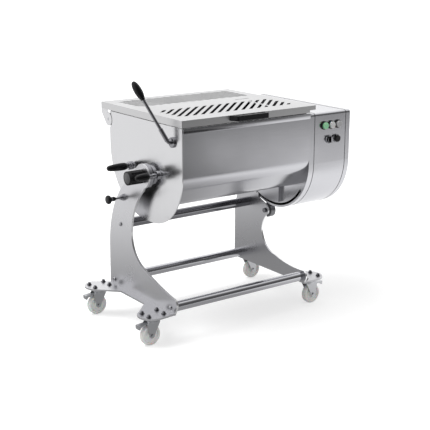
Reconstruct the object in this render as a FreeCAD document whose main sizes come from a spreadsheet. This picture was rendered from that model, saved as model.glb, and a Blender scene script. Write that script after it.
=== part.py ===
import FreeCAD, Part
import math
import os
from types import SimpleNamespace
from FreeCAD import Placement, Rotation, Vector

# Spice mixer: a twin-shaft trough with a drive housing at its right end, tilting as one tub
# in a wheeled frame of two side plates and three cross tubes. Lengths are millimetres.
# X runs from the trough's plain end to the drive end, the operator stands at -Y, Z is up.
# Until the last step every place is measured from the middle of the tub's length and depth.

SIZES = {
    # Tub
    "trough_length": 742, "housing_length": 262, "sheet": 3, "end_plate": 5,
    "front_shaft_y": -167, "rear_shaft_y": 88, "shaft_height": 760, "trough_radius": 190,
    "rim_height": 1000, "lip_height": 26, "lip_depth": 4,
    "end_bottom": 519, "end_front_radius": 260, "end_rear_radius": 326,
    # Tilt pivot, guide slot and index holes
    "pivot_y": -95, "pivot_height": 747, "tilt_range": 88, "fit": 0.1, "seat_gap": 0.3,
    "trunnion_radius": 20, "trunnion_flange": 45, "flange_thick": 8, "stud_radius": 10,
    "stud_length": 60, "bearing_radius": 57, "bearing_length": 30,
    "slot_radius": 246, "slot_play": 1, "slot_pin_radius": 5, "slot_pin_angle": 57, "pin_reach": 12,
    "index_y": 77, "index_height": 612, "boss_radius": 15, "boss_height": 10,
    "plunger_radius": 5, "plunger_travel": 8, "plunger_park": 1.5, "plunger_length": 105,
    "bush_radius": 11, "bush_length": 22, "nut_radius": 17, "nut_height": 9,
    "plunger_knob_radius": 22, "plunger_knob_length": 26,
    # Housing
    "housing_top": 996, "housing_rear": 329, "housing_corner": 14, "rear_bend": 240,
    "rim_lift": 18, "inner_cap_depth": 30, "end_cap_depth": 27,
    "cover_depth": 18, "cover_front": 40, "cover_reach": 155, "cover_gap": 14,
    "gearbox_depth": 87, "gearbox_height": 140, "motor_radius": 78, "motor_length": 130,
    # Lid
    "lid_top": 1036, "lid_skirt": 33, "lid_short_skirt": 21, "lid_rear": 357, "lid_overhang": 35,
    "hinge_y": 291, "hinge_height": 957, "hinge_pin_radius": 8, "hinge_range": 90,
    "ear_radius": 33, "ear_slit": 5, "ear_gap": 0.6, "small_ear_radius": 11.5, "ear_thick": 6,
    "lug_width": 18, "lug_wall": 6,
    "slot_width": 15, "slot_pitch": 46, "slot_run": 200, "slot_margin": 60, "slot_front": 100,
    "slot_rear": 454, "slit_width": 6, "slit_length": 85, "slit_left": 572, "slit_front": 371,
    "handle_left": 261, "handle_length": 219, "handle_reach": 38, "handle_bar": 15,
    "handle_height": 24, "handle_drop": 12, "handle_slope": 26,
    # Controls
    "button_radius": 17, "bezel_radius": 21, "bezel_height": 5, "button_height": 9,
    "button_stem_radius": 11, "button_stem": 20, "button_travel": 4, "button_pitch": 44,
    "button_left": 92, "button_drop": 64, "lower_left": 124, "lower_drop": 135, "lower_pitch": 48,
    "knob_radius": 15, "knob_height": 20,
    # Tilt lever
    "lever_y": -283, "lever_height": 930, "lever_boss_radius": 24, "lever_boss_height": 9,
    "lever_radius": 7.5, "lever_bend": 22, "lever_lean": 17, "lever_sweep": 27,
    "lever_length": 205, "sleeve_radius": 10, "sleeve_length": 62,
    "grip_length": 105, "grip_radius": 22,
    # Spindles and paddles
    "spindle_radius": 8, "spindle_reach": 44, "spindle_travel": 60, "collar_radius": 19,
    "collar_height": 8, "hand_radius": 18.5, "rear_hand_start": 22, "front_hand_start": 57,
    "rear_hand_length": 108, "front_hand_length": 76,
    "shaft_radius": 20, "shaft_play": 8, "drive_radius": 12.5, "drive_reach": 40,
    "seal_radius": 30, "arm_radius": 8, "arm_reach": 150, "paddle_reach": 173, "blade_depth": 56,
    "blade_width": 74, "blade_thick": 6, "arm_pitch": 180, "arm_first": 75, "blade_turn": 40,
    # Pivot knob
    "knob_length": 100, "knob_outer": 32.5, "flute_radius": 7, "flute_count": 8,
    # Frame
    "side_gap": 39, "right_gap": 2, "side_plate": 10, "lobe_radius": 58, "foot_height": 139,
    "foot_front": -352, "foot_rear": 226, "flange_sheet": 8, "flange_width": 34,
    "lobe_reach": 78, "lobe_round": 70, "tube_radius": 24, "tube_wall": 3, "plug_length": 14,
    "upper_tube_y": 112, "upper_tube_height": 471, "rear_tube_y": 182, "front_tube_y": -325,
    "low_tube_height": 171, "screw_radius": 6, "screw_head": 11, "screw_head_height": 8,
    "roller_radius": 37.5, "roller_width": 27, "roller_angle": 78.8, "roller_pin": 8,
    "ear_round": 27, "pin_tab": 10,
    # Casters
    "caster_front_y": -290, "caster_rear_y": 209, "caster_reach": 75, "trail": 18,
    "wheel_radius": 50, "wheel_width": 32, "axle_radius": 6, "mount_plate": 6,
    "mount_length": 105, "mount_width": 85, "bolt_x": 80, "bolt_y": 60, "bolt_radius": 4,
    "bolt_head": 7.5, "bolt_head_height": 6, "race_radius": 30, "race_height": 14, "fork_gap": 3,
    "fork_sheet": 3, "crown_radius": 31, "crown_height": 9, "pedal_reach": 84,
    "pedal_width": 32, "pedal_thick": 5, "pedal_pin": 3, "pedal_pin_x": 36, "pedal_range": 12,
}

doc = FreeCAD.newDocument("SpiceMixer")


def fill_sheet():
    """Write every driving size to the sheet and read it back."""
    sheet = doc.addObject("Spreadsheet::Sheet", "sizes")
    for row, (alias, value) in enumerate(SIZES.items(), 1):
        sheet.set(f"A{row}", alias)
        sheet.set(f"B{row}", str(value))
        sheet.setAlias(f"B{row}", alias)
    doc.recompute()
    return SimpleNamespace(**{alias: float(sheet.get(alias)) for alias in SIZES})


size = fill_sheet()

# Places that several pieces share, worked out from the sheet
tub_half = (size.trough_length + size.housing_length) / 2
trough_left = -tub_half
housing_left = trough_left + size.trough_length
housing_right = tub_half
front_y = size.front_shaft_y - size.trough_radius
rear_y = size.rear_shaft_y + size.trough_radius
rim_radius = size.pivot_y - front_y
pivot = (size.pivot_y, size.pivot_height)
hinge = (size.hinge_y, size.hinge_height)
left_outer = trough_left - size.side_gap - size.side_plate
left_inner = left_outer + size.side_plate
right_outer = housing_left - size.right_gap
right_inner = right_outer - size.side_plate
lid_right = housing_left + size.lid_overhang
shaft_places = {"front": size.front_shaft_y, "rear": size.rear_shaft_y}
tube_places = {
    "upper": (size.upper_tube_y, size.upper_tube_height),
    "rear": (size.rear_tube_y, size.low_tube_height),
    "front": (size.front_tube_y, size.low_tube_height),
}
caster_places = {
    "front_left": (left_outer - size.caster_reach, size.caster_front_y, -1),
    "rear_left": (left_outer - size.caster_reach, size.caster_rear_y, -1),
    "front_right": (right_outer + size.caster_reach, size.caster_front_y, 1),
    "rear_right": (right_outer + size.caster_reach, size.caster_rear_y, 1),
}
roller_distance = rim_radius + size.seat_gap + size.roller_radius


def around(centre, radius, degrees):
    """Point on a circle, with 0 degrees along the first axis."""
    turn = math.radians(degrees)
    return (centre[0] + radius * math.cos(turn), centre[1] + radius * math.sin(turn))


roller_centre = around(pivot, roller_distance, -size.roller_angle)
slot_pin = around(pivot, size.slot_radius, -size.slot_pin_angle)
index_radius = math.dist(pivot, (size.index_y, size.index_height))
index_angle = math.degrees(math.atan2(size.index_height - pivot[1], size.index_y - pivot[0]))

# The finished model stands on Z = 0 with its bounding box centred on X = Y = 0
left_end = left_outer - size.caster_reach - size.pedal_reach
front_end = front_y - size.handle_reach
centre_x = (left_end + housing_right) / 2
centre_y = (front_end + size.lid_rear) / 2
shift = Placement(Vector(-centre_x, -centre_y, 0), Rotation())

TURN = {
    "X": Rotation(Vector(0, 1, 0), 90),
    "Y": Rotation(Vector(1, 0, 0), -90),
    "Z": Rotation(),
}
nodes = []


def node(label, thing):
    """Name a finished sub-part and move it to the model's own frame."""
    thing.Label = label
    thing.Placement = shift.multiply(thing.Placement)
    nodes.append(thing)
    return thing


def new_body(name):
    return doc.addObject("PartDesign::Body", name)


def draw(sketch, trace):
    """Draw a closed outline: points for lines, (through, end) pairs for arcs."""
    start = here = Vector(*trace[0], 0)
    for step in trace[1:]:
        if isinstance(step[0], tuple):
            through, end = (Vector(*point, 0) for point in step)
            sketch.addGeometry(Part.ArcOfCircle(here, through, end))
        else:
            end = Vector(*step, 0)
            sketch.addGeometry(Part.LineSegment(here, end))
        here = end
    if (here - start).Length > 1e-6:
        sketch.addGeometry(Part.LineSegment(here, start))


def sketch_on(body, role, offset, traces=(), circles=()):
    """Sketch on one of the body's own planes, offset along that plane's normal."""
    sketch = body.newObject("Sketcher::SketchObject", body.Name + "Sketch")
    plane = next(item for item in body.Origin.OriginFeatures if item.Role == role)
    sketch.AttachmentSupport = [(plane, "")]
    sketch.MapMode = "FlatFace"
    sketch.AttachmentOffset = Placement(Vector(0, 0, offset), Rotation())
    for trace in traces:
        draw(sketch, trace)
    for centre, radius in circles:
        sketch.addGeometry(Part.Circle(Vector(*centre, 0), Vector(0, 0, 1), radius))
    return sketch


def pad(body, sketch, length):
    feature = body.newObject("PartDesign::Pad", body.Name + "Pad")
    feature.Profile = sketch
    feature.setExpression("Length", length)
    return feature


def pocket(body, sketch, length, along=False):
    """Cut against the sketch's normal, or along it."""
    feature = body.newObject("PartDesign::Pocket", body.Name + "Pocket")
    feature.Profile = sketch
    feature.setExpression("Length", length)
    feature.Reversed = along
    return feature


def revolve(body, sketch, axis):
    feature = body.newObject("PartDesign::Revolution", body.Name + "Turned")
    feature.Profile = sketch
    feature.ReferenceAxis = (sketch, [axis])
    feature.Angle = 360
    return feature


def rod(name, radius, length, base, axis="X"):
    """Cylinder whose radius and length are bound to the sheet."""
    cylinder = doc.addObject("Part::Cylinder", name)
    cylinder.setExpression("Radius", radius)
    cylinder.setExpression("Height", length)
    cylinder.Placement = Placement(Vector(*base), TURN[axis])
    return cylinder


def block(name, lengths, base):
    box = doc.addObject("Part::Box", name)
    for side, value in zip(("Length", "Width", "Height"), lengths):
        box.setExpression(side, value)
    box.Placement = Placement(Vector(*base), Rotation())
    return box


def joined(name, pieces):
    fuse = doc.addObject("Part::MultiFuse", name)
    fuse.Shapes = pieces
    return fuse


def bored(name, base, tools):
    cut = doc.addObject("Part::Cut", name)
    cut.Base = base
    cut.Tool = tools[0] if len(tools) == 1 else joined(name + "Tools", tools)
    return cut


def group(name, pieces):
    """Separate solids of one kind that share a node."""
    compound = doc.addObject("Part::Compound", name)
    compound.Links = pieces
    return compound


def trough_outline(radius):
    """One face of the trough's section: two round lobes that meet in a ridge."""
    ridge_y = (size.front_shaft_y + size.rear_shaft_y) / 2
    half = size.rear_shaft_y - ridge_y
    ridge_z = size.shaft_height - math.sqrt(radius ** 2 - half ** 2)
    front = (size.front_shaft_y, size.shaft_height)
    rear = (size.rear_shaft_y, size.shaft_height)
    return [
        (front[0] - radius, size.rim_height),
        (front[0] - radius, size.shaft_height),
        (around(front, radius, 240), (ridge_y, ridge_z)),
        (around(rear, radius, -60), (rear[0] + radius, size.shaft_height)),
        (rear[0] + radius, size.rim_height),
    ]


def trough_shell():
    outer = trough_outline(size.trough_radius)
    inner = trough_outline(size.trough_radius - size.sheet)
    lip_front = front_y - size.lip_depth
    lip_bottom = size.rim_height - size.lip_height
    back = [inner[4], inner[3][1], (inner[3][0], inner[2][1]), (inner[2][0], inner[1]), inner[0]]
    section = [(lip_front, size.rim_height), (lip_front, lip_bottom), (front_y, lip_bottom)]
    section += outer[1:] + back
    body = new_body("TroughShell")
    sketch = sketch_on(body, "YZ_Plane", trough_left + size.end_plate, [section])
    pad(body, sketch, "sizes.trough_length - sizes.end_plate")
    return node("trough_shell", body)


def end_plate_outline():
    front_centre = (front_y + size.end_front_radius, size.end_bottom + size.end_front_radius)
    rear_centre = (rear_y - size.end_rear_radius, size.end_bottom + size.end_rear_radius)
    notch = size.ear_radius + size.ear_slit
    neck_y = size.hinge_y - notch * math.cos(math.radians(40))
    neck_z = size.hinge_height + notch * math.sin(math.radians(40))
    low_z = size.hinge_height - math.sqrt(notch ** 2 - (size.hinge_y - rear_y) ** 2)
    return [
        (neck_y, size.rim_height),
        (front_y, size.rim_height),
        (front_y, front_centre[1]),
        (around(front_centre, size.end_front_radius, 225), (front_centre[0], size.end_bottom)),
        (rear_centre[0], size.end_bottom),
        (around(rear_centre, size.end_rear_radius, -45), (rear_y, rear_centre[1])),
        (rear_y, low_z),
        ((size.hinge_y - notch, size.hinge_height), (neck_y, neck_z)),
    ]


def left_end_plate():
    body = new_body("LeftEndPlate")
    holes = [((y, size.shaft_height), size.spindle_radius + 1) for y in shaft_places.values()]
    sketch = sketch_on(body, "YZ_Plane", trough_left, [end_plate_outline()], holes)
    pad(body, sketch, "sizes.end_plate")
    return node("left_end_plate", body)


def housing_outline(inset):
    """Outline of the housing, moved in by a sheet's thickness where asked."""
    front, rear = front_y + inset, size.housing_rear - inset
    top, corner = size.housing_top - inset, size.housing_corner - inset
    round_radius, bend = rim_radius - inset, size.rear_bend - inset
    leave = around(pivot, round_radius, size.rim_lift - 90)
    slope = math.radians(size.rim_lift)
    bend_y = rear - bend
    turned = (bend_y + bend * math.sin(slope), 0)
    bend_z = leave[1] + (turned[0] - leave[0]) * math.tan(slope) + bend * math.cos(slope)
    bend_centre = (bend_y, bend_z)
    return [
        (front, top - corner),
        (front, size.pivot_height),
        (around(pivot, round_radius, 225), leave),
        around(bend_centre, bend, size.rim_lift - 90),
        (around(bend_centre, bend, -30), (rear, bend_z)),
        (rear, top - corner),
        (around((rear - corner, top - corner), corner, 45), (rear - corner, top)),
        (front + corner, top),
        (around((front + corner, top - corner), corner, 135), (front, top - corner)),
    ]


def slot_arc():
    """The guide slot that the frame's pin runs in as the tub tilts."""
    half = size.slot_pin_radius + size.slot_play
    rear_angle = -size.slot_pin_angle
    front_angle = rear_angle - size.tilt_range
    middle = (rear_angle + front_angle) / 2
    outer, inner = size.slot_radius + half, size.slot_radius - half
    cap = math.degrees(half / size.slot_radius)
    return [
        around(pivot, outer, rear_angle),
        (around(pivot, outer, middle), around(pivot, outer, front_angle)),
        (around(pivot, size.slot_radius, front_angle - cap), around(pivot, inner, front_angle)),
        (around(pivot, inner, middle), around(pivot, inner, rear_angle)),
        (around(pivot, size.slot_radius, rear_angle + cap), around(pivot, outer, rear_angle)),
    ]


def housing_inner_cap():
    body = new_body("HousingInnerCap")
    whole = sketch_on(body, "YZ_Plane", housing_left, [housing_outline(0)])
    pad(body, whole, "sizes.inner_cap_depth")
    hollow = sketch_on(body, "YZ_Plane", housing_left + size.inner_cap_depth,
                       [housing_outline(size.sheet)])
    pocket(body, hollow, "sizes.inner_cap_depth - sizes.sheet")
    holes = [((y, size.shaft_height), size.drive_radius + 1) for y in shaft_places.values()]
    through = sketch_on(body, "YZ_Plane", housing_left + size.sheet, [slot_arc()], holes)
    pocket(body, through, "sizes.sheet")
    return node("housing_inner_cap", body)


def button_places():
    """Place and kind of each control on the housing's front, as x, z and name."""
    upper = [(housing_left + size.button_left + i * size.button_pitch,
              size.housing_top - size.button_drop) for i in range(3)]
    lower = [(housing_left + size.lower_left + i * size.lower_pitch,
              size.housing_top - size.lower_drop) for i in range(2)]
    names = ["start_button", "stop_button", "reset_button", "selector_knob", "inch_button"]
    return dict(zip(names, upper + lower))


def housing_wrap():
    body = new_body("HousingWrap")
    start = housing_left + size.inner_cap_depth
    sketch = sketch_on(body, "YZ_Plane", start, [housing_outline(0), housing_outline(size.sheet)])
    pad(body, sketch, "sizes.housing_length - sizes.inner_cap_depth - sizes.end_cap_depth")
    holes = [(place, size.button_stem_radius + 1) for place in button_places().values()]
    panel = sketch_on(body, "XZ_Plane", -front_y, (), holes)
    pocket(body, panel, "sizes.sheet")
    return node("housing_wrap", body)


def housing_end_cap():
    body = new_body("HousingEndCap")
    start = housing_right - size.end_cap_depth
    whole = sketch_on(body, "YZ_Plane", start, [housing_outline(0)])
    pad(body, whole, "sizes.end_cap_depth")
    hollow = sketch_on(body, "YZ_Plane", start, [housing_outline(size.sheet)])
    pocket(body, hollow, "sizes.end_cap_depth - sizes.sheet", along=True)
    return node("housing_end_cap", body)


def drive_cover():
    """Raised cover on the housing's inner face, between the trough and the guide slot."""
    reach = size.slot_radius - size.cover_gap
    start = housing_left - size.cover_depth
    whole = rod("CoverDisc", "sizes.slot_radius - sizes.cover_gap", "sizes.cover_depth",
                (start, *pivot))
    bays = []
    for name, y in shaft_places.items():
        bays.append(rod("CoverBay" + name, "sizes.trough_radius + sizes.plunger_park",
                        "sizes.cover_depth", (start, y, size.shaft_height)))
    window = block("CoverWindow", ("sizes.cover_depth", "sizes.cover_reach", "sizes.slot_radius"),
                   (start, size.pivot_y - size.cover_front, size.pivot_height - size.slot_radius))
    upper = block("CoverTop", ("sizes.cover_depth", "4 * sizes.slot_radius", "sizes.slot_radius"),
                  (start, size.pivot_y - 2 * reach, size.end_bottom + size.slot_radius / 2.5))
    cover = doc.addObject("Part::Common", "CoverPlate")
    cover.Base = whole
    cover.Tool = window
    return node("drive_cover", bored("DriveCover", cover, bays + [upper]))


def pivot_trunnion():
    """Stepped journal on the plain end: flange, bearing journal and knob stud."""
    bearing_end = size.side_gap + size.side_plate + size.fork_gap
    body = new_body("PivotTrunnion")
    steps = [
        (0, 0), (size.trunnion_flange, 0), (size.trunnion_flange, size.flange_thick),
        (size.trunnion_radius, size.flange_thick), (size.trunnion_radius, bearing_end),
        (size.stud_radius, bearing_end), (size.stud_radius, bearing_end + size.stud_length),
        (0, bearing_end + size.stud_length),
    ]
    revolve(body, sketch_on(body, "XZ_Plane", 0, [steps]), "V_Axis")
    body.Placement = Placement(Vector(trough_left, *pivot), Rotation(Vector(0, 1, 0), -90))
    return node("pivot_trunnion", body)


def pivot_knob():
    """Fluted clamp knob on the trunnion's stud, outside the left side plate."""
    start = left_outer - size.fork_gap - 1
    outer = rod("KnobBody", "sizes.knob_outer", "sizes.knob_length",
                (start - size.knob_length, *pivot))
    tools = [rod("KnobBore", "sizes.stud_radius + sizes.fit", "sizes.stud_length + 2",
                 (start - size.stud_length - 2, *pivot))]
    for i in range(int(size.flute_count)):
        centre = around(pivot, size.knob_outer + size.flute_radius / 2, 360 * i / size.flute_count)
        tools.append(rod(f"Flute{i}", "sizes.flute_radius", "sizes.knob_length",
                         (start - size.knob_length + 14, *centre)))
    return node("pivot_knob", bored("PivotKnob", outer, tools))


def index_bosses():
    """Drilled bosses on the end plate that the plunger drops into, one per stop."""
    bosses = []
    for i, angle in enumerate((index_angle, index_angle - size.tilt_range)):
        base = (trough_left - size.boss_height, *around(pivot, index_radius, angle))
        outer = rod(f"BossBody{i}", "sizes.boss_radius", "sizes.boss_height", base)
        bore = rod(f"BossBore{i}", "sizes.plunger_radius + 0.5", "sizes.boss_height", base)
        bosses.append(bored(f"Boss{i}", outer, [bore]))
    return node("index_bosses", group("IndexBosses", bosses))


def paddle_shaft(name, y, first, start_turn):
    """Shaft with radial arms and tilted blades, borne on the spindle at its left end."""
    left = trough_left + size.end_plate + size.shaft_play
    right = housing_left - size.shaft_play
    base = (left, y, size.shaft_height)
    shaft = rod(name + "Shaft", "sizes.shaft_radius",
                "sizes.trough_length - sizes.end_plate - 2 * sizes.shaft_play", base)
    drive = rod(name + "Drive", "sizes.drive_radius", "sizes.shaft_play + sizes.drive_reach",
                (right, y, size.shaft_height))
    pieces = [shaft, drive]
    for i in range(4):
        x = left + first + i * size.arm_pitch
        turn = Rotation(Vector(1, 0, 0), start_turn + 90 * i)
        arm = rod(f"{name}Arm{i}", "sizes.arm_radius", "sizes.arm_reach", (0, 0, 0), "Z")
        arm.Placement = Placement(Vector(x, y, size.shaft_height), turn)
        blade = block(f"{name}Blade{i}",
                      ("sizes.blade_width", "sizes.blade_thick", "sizes.blade_depth"), (0, 0, 0))
        corner = Placement(Vector(-size.blade_width / 2, -size.blade_thick / 2,
                                  size.paddle_reach - size.blade_depth), Rotation())
        twist = Placement(Vector(), Rotation(Vector(0, 0, 1), size.blade_turn))
        blade.Placement = arm.Placement.multiply(twist).multiply(corner)
        pieces += [arm, blade]
    bore = rod(name + "Bore", "sizes.spindle_radius + sizes.fit", "sizes.spindle_reach", base)
    return node(name + "_paddle_shaft", bored(name + "Paddle", joined(name + "Arms", pieces), [bore]))


def bearing_spindle(name, y, start_alias):
    """Pull-out spindle through the end plate, with its tip in the paddle shaft."""
    grip_start = trough_left - getattr(size, start_alias)
    length = f"sizes.end_plate + sizes.shaft_play + sizes.spindle_reach - 4 + sizes.{start_alias} + 30"
    return node(name + "_bearing_spindle",
                rod(name + "Spindle", "sizes.spindle_radius", length,
                    (grip_start - 30, y, size.shaft_height)))


def spindle_grip(name, y, start_alias, length_alias):
    start = trough_left - getattr(size, start_alias)
    reach = getattr(size, length_alias)
    body = new_body(name + "Grip")
    waist = size.hand_radius - 2.5
    profile = [
        (0, 0), (size.hand_radius - 4, 0), (size.hand_radius, 4),
        ((waist, reach / 2), (size.hand_radius, reach - 8)),
        ((size.hand_radius - 2.5, reach - 2.5), (size.hand_radius - 8, reach)), (0, reach),
    ]
    revolve(body, sketch_on(body, "XZ_Plane", 0, [profile]), "V_Axis")
    hole = sketch_on(body, "XY_Plane", 0, (), [((0, 0), size.spindle_radius)])
    pocket(body, hole, "30", along=True)
    body.Placement = Placement(Vector(start, y, size.shaft_height), Rotation(Vector(0, 1, 0), -90))
    return node(name + "_spindle_grip", body)


def spindle_collars():
    pieces = []
    for name, y in shaft_places.items():
        base = (trough_left - size.collar_height, y, size.shaft_height)
        outer = rod(name + "Collar", "sizes.collar_radius", "sizes.collar_height", base)
        inner = rod(name + "CollarBore", "sizes.spindle_radius + sizes.fit", "sizes.collar_height",
                    base)
        pieces.append(bored(name + "Bush", outer, [inner]))
    return node("spindle_bushes", group("SpindleBushes", pieces))


def shaft_seals():
    pieces = []
    width = size.shaft_play - 1
    for name, y in shaft_places.items():
        base = (housing_left - width, y, size.shaft_height)
        outer = rod(name + "Seal", "sizes.seal_radius", "sizes.shaft_play - 1", base)
        inner = rod(name + "SealBore", "sizes.drive_radius + sizes.seat_gap",
                    "sizes.shaft_play - 1", base)
        pieces.append(bored(name + "Ring", outer, [inner]))
    return node("shaft_seals", group("ShaftSeals", pieces))


def gearbox():
    base_x = housing_left + size.sheet
    margin = size.seal_radius + 10
    outer = block("GearCase", ("sizes.gearbox_depth",
                               "sizes.rear_shaft_y - sizes.front_shaft_y + 2 * sizes.seal_radius + 20",
                               "sizes.gearbox_height"),
                  (base_x, size.front_shaft_y - margin, size.shaft_height - size.gearbox_height / 2))
    bores = [rod(name + "GearBore", "sizes.drive_radius + sizes.fit", "sizes.drive_reach",
                 (base_x, y, size.shaft_height)) for name, y in shaft_places.items()]
    return node("gearbox", bored("Gearbox", outer, bores))


def drive_motor():
    middle = (size.front_shaft_y + size.rear_shaft_y) / 2
    base = (housing_left + size.sheet + size.gearbox_depth, middle,
            size.shaft_height)
    return node("drive_motor", rod("DriveMotor", "sizes.motor_radius", "sizes.motor_length", base))


def tilt_lever():
    """Boss on the end plate and a rod that turns up out of it, leaning out and rearwards."""
    root = Vector(trough_left, size.lever_y, size.lever_height)
    rise = Vector(-math.sin(math.radians(size.lever_lean)), math.sin(math.radians(size.lever_sweep)),
                  0)
    rise.z = math.sqrt(1 - rise.x ** 2 - rise.y ** 2)
    corner = root + Vector(-size.lever_boss_height - size.lever_bend, 0, 0)
    arc_start = corner + Vector(size.lever_bend * 0.7, 0, 0)
    arc_end = corner + rise * size.lever_bend * 0.7
    inward = Vector(1, 0, 0) + rise
    half = inward.getAngle(rise)
    radius = size.lever_bend * 0.7 * math.tan(half)
    middle = corner + inward.normalize() * (math.hypot(size.lever_bend * 0.7, radius) - radius)
    tip = arc_end + rise * size.lever_length
    spine = Part.Wire([Part.makeLine(root, arc_start),
                       Part.Arc(arc_start, middle, arc_end).toShape(),
                       Part.makeLine(arc_end, tip)])
    ring = Part.Wire(Part.makeCircle(size.lever_radius, root, Vector(-1, 0, 0)))
    rod_shape = spine.makePipeShell([ring], True, False)
    sleeve = Part.makeCylinder(size.sleeve_radius, size.sleeve_length, arc_end, rise)
    boss = Part.makeCylinder(size.lever_boss_radius, size.lever_boss_height, root, Vector(-1, 0, 0))
    lever = doc.addObject("Part::Feature", "TiltLever")
    lever.Shape = rod_shape.fuse([sleeve, boss]).removeSplitter()
    node("tilt_lever", lever)
    return tip, rise


def lever_grip(tip, rise):
    """Pear-shaped hand grip on the lever's end."""
    reach, wide = size.grip_length, size.grip_radius
    body = new_body("LeverGrip")
    profile = [
        (0, 0), (wide * 0.5, 0), ((wide * 0.85, reach * 0.33), (wide, reach * 0.7)),
        ((wide * 0.8, reach * 0.92), (wide * 0.35, reach)), (0, reach),
    ]
    revolve(body, sketch_on(body, "XZ_Plane", 0, [profile]), "V_Axis")
    body.Placement = Placement(tip, Rotation(Vector(0, 0, 1), rise))
    return node("lever_grip", body)


def hinge_lugs():
    """Lugs on the trough's rear wall that carry the lid's hinge shaft."""
    lug_top = size.hinge_height + size.hinge_pin_radius + size.lug_wall
    lug_rear = size.hinge_y + size.hinge_pin_radius + size.lug_wall
    round_centre = hinge
    radius = size.hinge_pin_radius + size.lug_wall
    trace = [
        (rear_y, lug_top), (rear_y, size.hinge_height - 2 * radius),
        (lug_rear, size.hinge_height),
        (around(round_centre, radius, 45), (size.hinge_y, lug_top)),
    ]
    lugs = []
    inner = trough_left + size.end_plate + size.lug_width
    for i, x in enumerate((inner, trough_left + size.trough_length / 2,
                           housing_left - 3 * size.lug_width)):
        body = new_body(f"HingeLug{i}")
        sketch = sketch_on(body, "YZ_Plane", x, [trace], [(hinge, size.hinge_pin_radius + size.fit)])
        pad(body, sketch, "sizes.lug_width")
        lugs.append(body)
    return node("hinge_lugs", group("HingeLugs", lugs))


def lid_slot_traces():
    """Slanted slots in two bands, cut short at the ends of the bands."""
    left = trough_left + size.slot_margin
    right = lid_right - size.slot_margin
    half = size.slot_width / math.sqrt(2)
    traces = []
    for band_y, way in ((front_y + size.slot_front, 1), (front_y + size.slot_rear, -1)):
        count = int((right - left + size.slot_run) / size.slot_pitch)
        for i in range(1, count + 1):
            x = left - size.slot_run + i * size.slot_pitch
            first = max(0, left - x)
            last = min(size.slot_run, right - x)
            if last - first < size.slot_pitch / 2:
                continue
            ends = []
            for run in (first, last):
                y = band_y + (run if way > 0 else size.slot_run - run)
                ends.append([(x + run - half, y), (x + run + half, y)])
            traces.append([ends[0][0], ends[0][1], ends[1][1], ends[1][0]])
    slit_left = trough_left + size.slit_left
    slit_front = front_y + size.slit_front
    traces.append([(slit_left, slit_front), (slit_left + size.slit_length, slit_front),
                   (slit_left + size.slit_length, slit_front + size.slit_width),
                   (slit_left, slit_front + size.slit_width)])
    return traces


def rectangle(left, right, low, high):
    return [(left, low), (right, low), (right, high), (left, high)]


def lid_panel():
    """Folded lid pan; its right skirt is short, because it passes over the housing."""
    body = new_body("LidPanel")
    bottom = size.lid_top - size.lid_skirt
    whole = sketch_on(body, "XY_Plane", bottom,
                      [rectangle(trough_left, lid_right, front_y, size.lid_rear)])
    pad(body, whole, "sizes.lid_skirt")
    inner = size.sheet
    under = sketch_on(body, "XY_Plane", bottom,
                      [rectangle(trough_left + inner, lid_right - inner, front_y + inner,
                                 size.lid_rear - inner)])
    pocket(body, under, "sizes.lid_skirt - sizes.sheet", along=True)
    trim = sketch_on(body, "XY_Plane", bottom,
                     [rectangle(housing_left - 1, lid_right + 1, front_y - 1, size.lid_rear + 1)])
    pocket(body, trim, "sizes.lid_skirt - sizes.lid_short_skirt", along=True)
    slots = sketch_on(body, "XY_Plane", size.lid_top, lid_slot_traces())
    pocket(body, slots, "sizes.sheet")
    return node("lid_panel", body)


def lid_ears():
    """Left ear in line with the end plate, small right ear behind the rear wall."""
    skirt = size.lid_top - size.lid_skirt
    side = around(hinge, size.ear_radius, 72)
    large = [
        (side[0], skirt), side,
        (around(hinge, size.ear_radius, 200), around(hinge, size.ear_radius, -50)),
        (size.lid_rear, size.hinge_height + 28), (size.lid_rear, skirt),
    ]
    left_ear = new_body("LeftEar")
    sketch = sketch_on(left_ear, "YZ_Plane", trough_left, [large],
                       [(hinge, size.hinge_pin_radius)])
    pad(left_ear, sketch, "sizes.end_plate - sizes.ear_gap")
    under_top = size.lid_top - size.sheet
    small = [
        (size.hinge_y - size.small_ear_radius, size.hinge_height),
        (around(hinge, size.small_ear_radius, -90), (size.hinge_y + size.small_ear_radius,
                                                     size.hinge_height)),
        (size.lid_rear - size.sheet, size.lid_top - size.lid_skirt),
        (size.lid_rear - size.sheet, under_top), (size.hinge_y - size.small_ear_radius, under_top),
    ]
    right_ear = new_body("RightEar")
    sketch = sketch_on(right_ear, "YZ_Plane", housing_left - 2 * size.lug_width + size.seat_gap,
                       [small], [(hinge, size.hinge_pin_radius)])
    pad(right_ear, sketch, "sizes.ear_thick")
    return node("lid_ears", group("LidEars", [left_ear, right_ear]))


def lid_hinge_shaft():
    shaft = rod("LidHingeShaft", "sizes.hinge_pin_radius",
                "sizes.trough_length - 2 * sizes.lug_width + sizes.seat_gap + sizes.ear_thick",
                (trough_left, *hinge))
    return node("lid_hinge_shaft", shaft)


def lid_handle():
    """Bow handle on the lid's front skirt."""
    left = trough_left + size.handle_left
    right = left + size.handle_length
    bar, slope = size.handle_bar, size.handle_slope
    face, nose = front_y, front_y - size.handle_reach
    trace = [
        (left, face), (left + slope * 0.7, nose + 5), (left + slope, nose), (right - slope, nose),
        (right - slope * 0.7, nose + 5), (right, face), (right - bar, face),
        (right - slope - bar * 0.4, nose + bar), (left + slope + bar * 0.4, nose + bar),
        (left + bar, face),
    ]
    body = new_body("LidHandle")
    low = size.lid_top - size.handle_drop - size.handle_height / 2
    pad(body, sketch_on(body, "XY_Plane", low, [trace]), "sizes.handle_height")
    return node("lid_handle", body)


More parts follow.
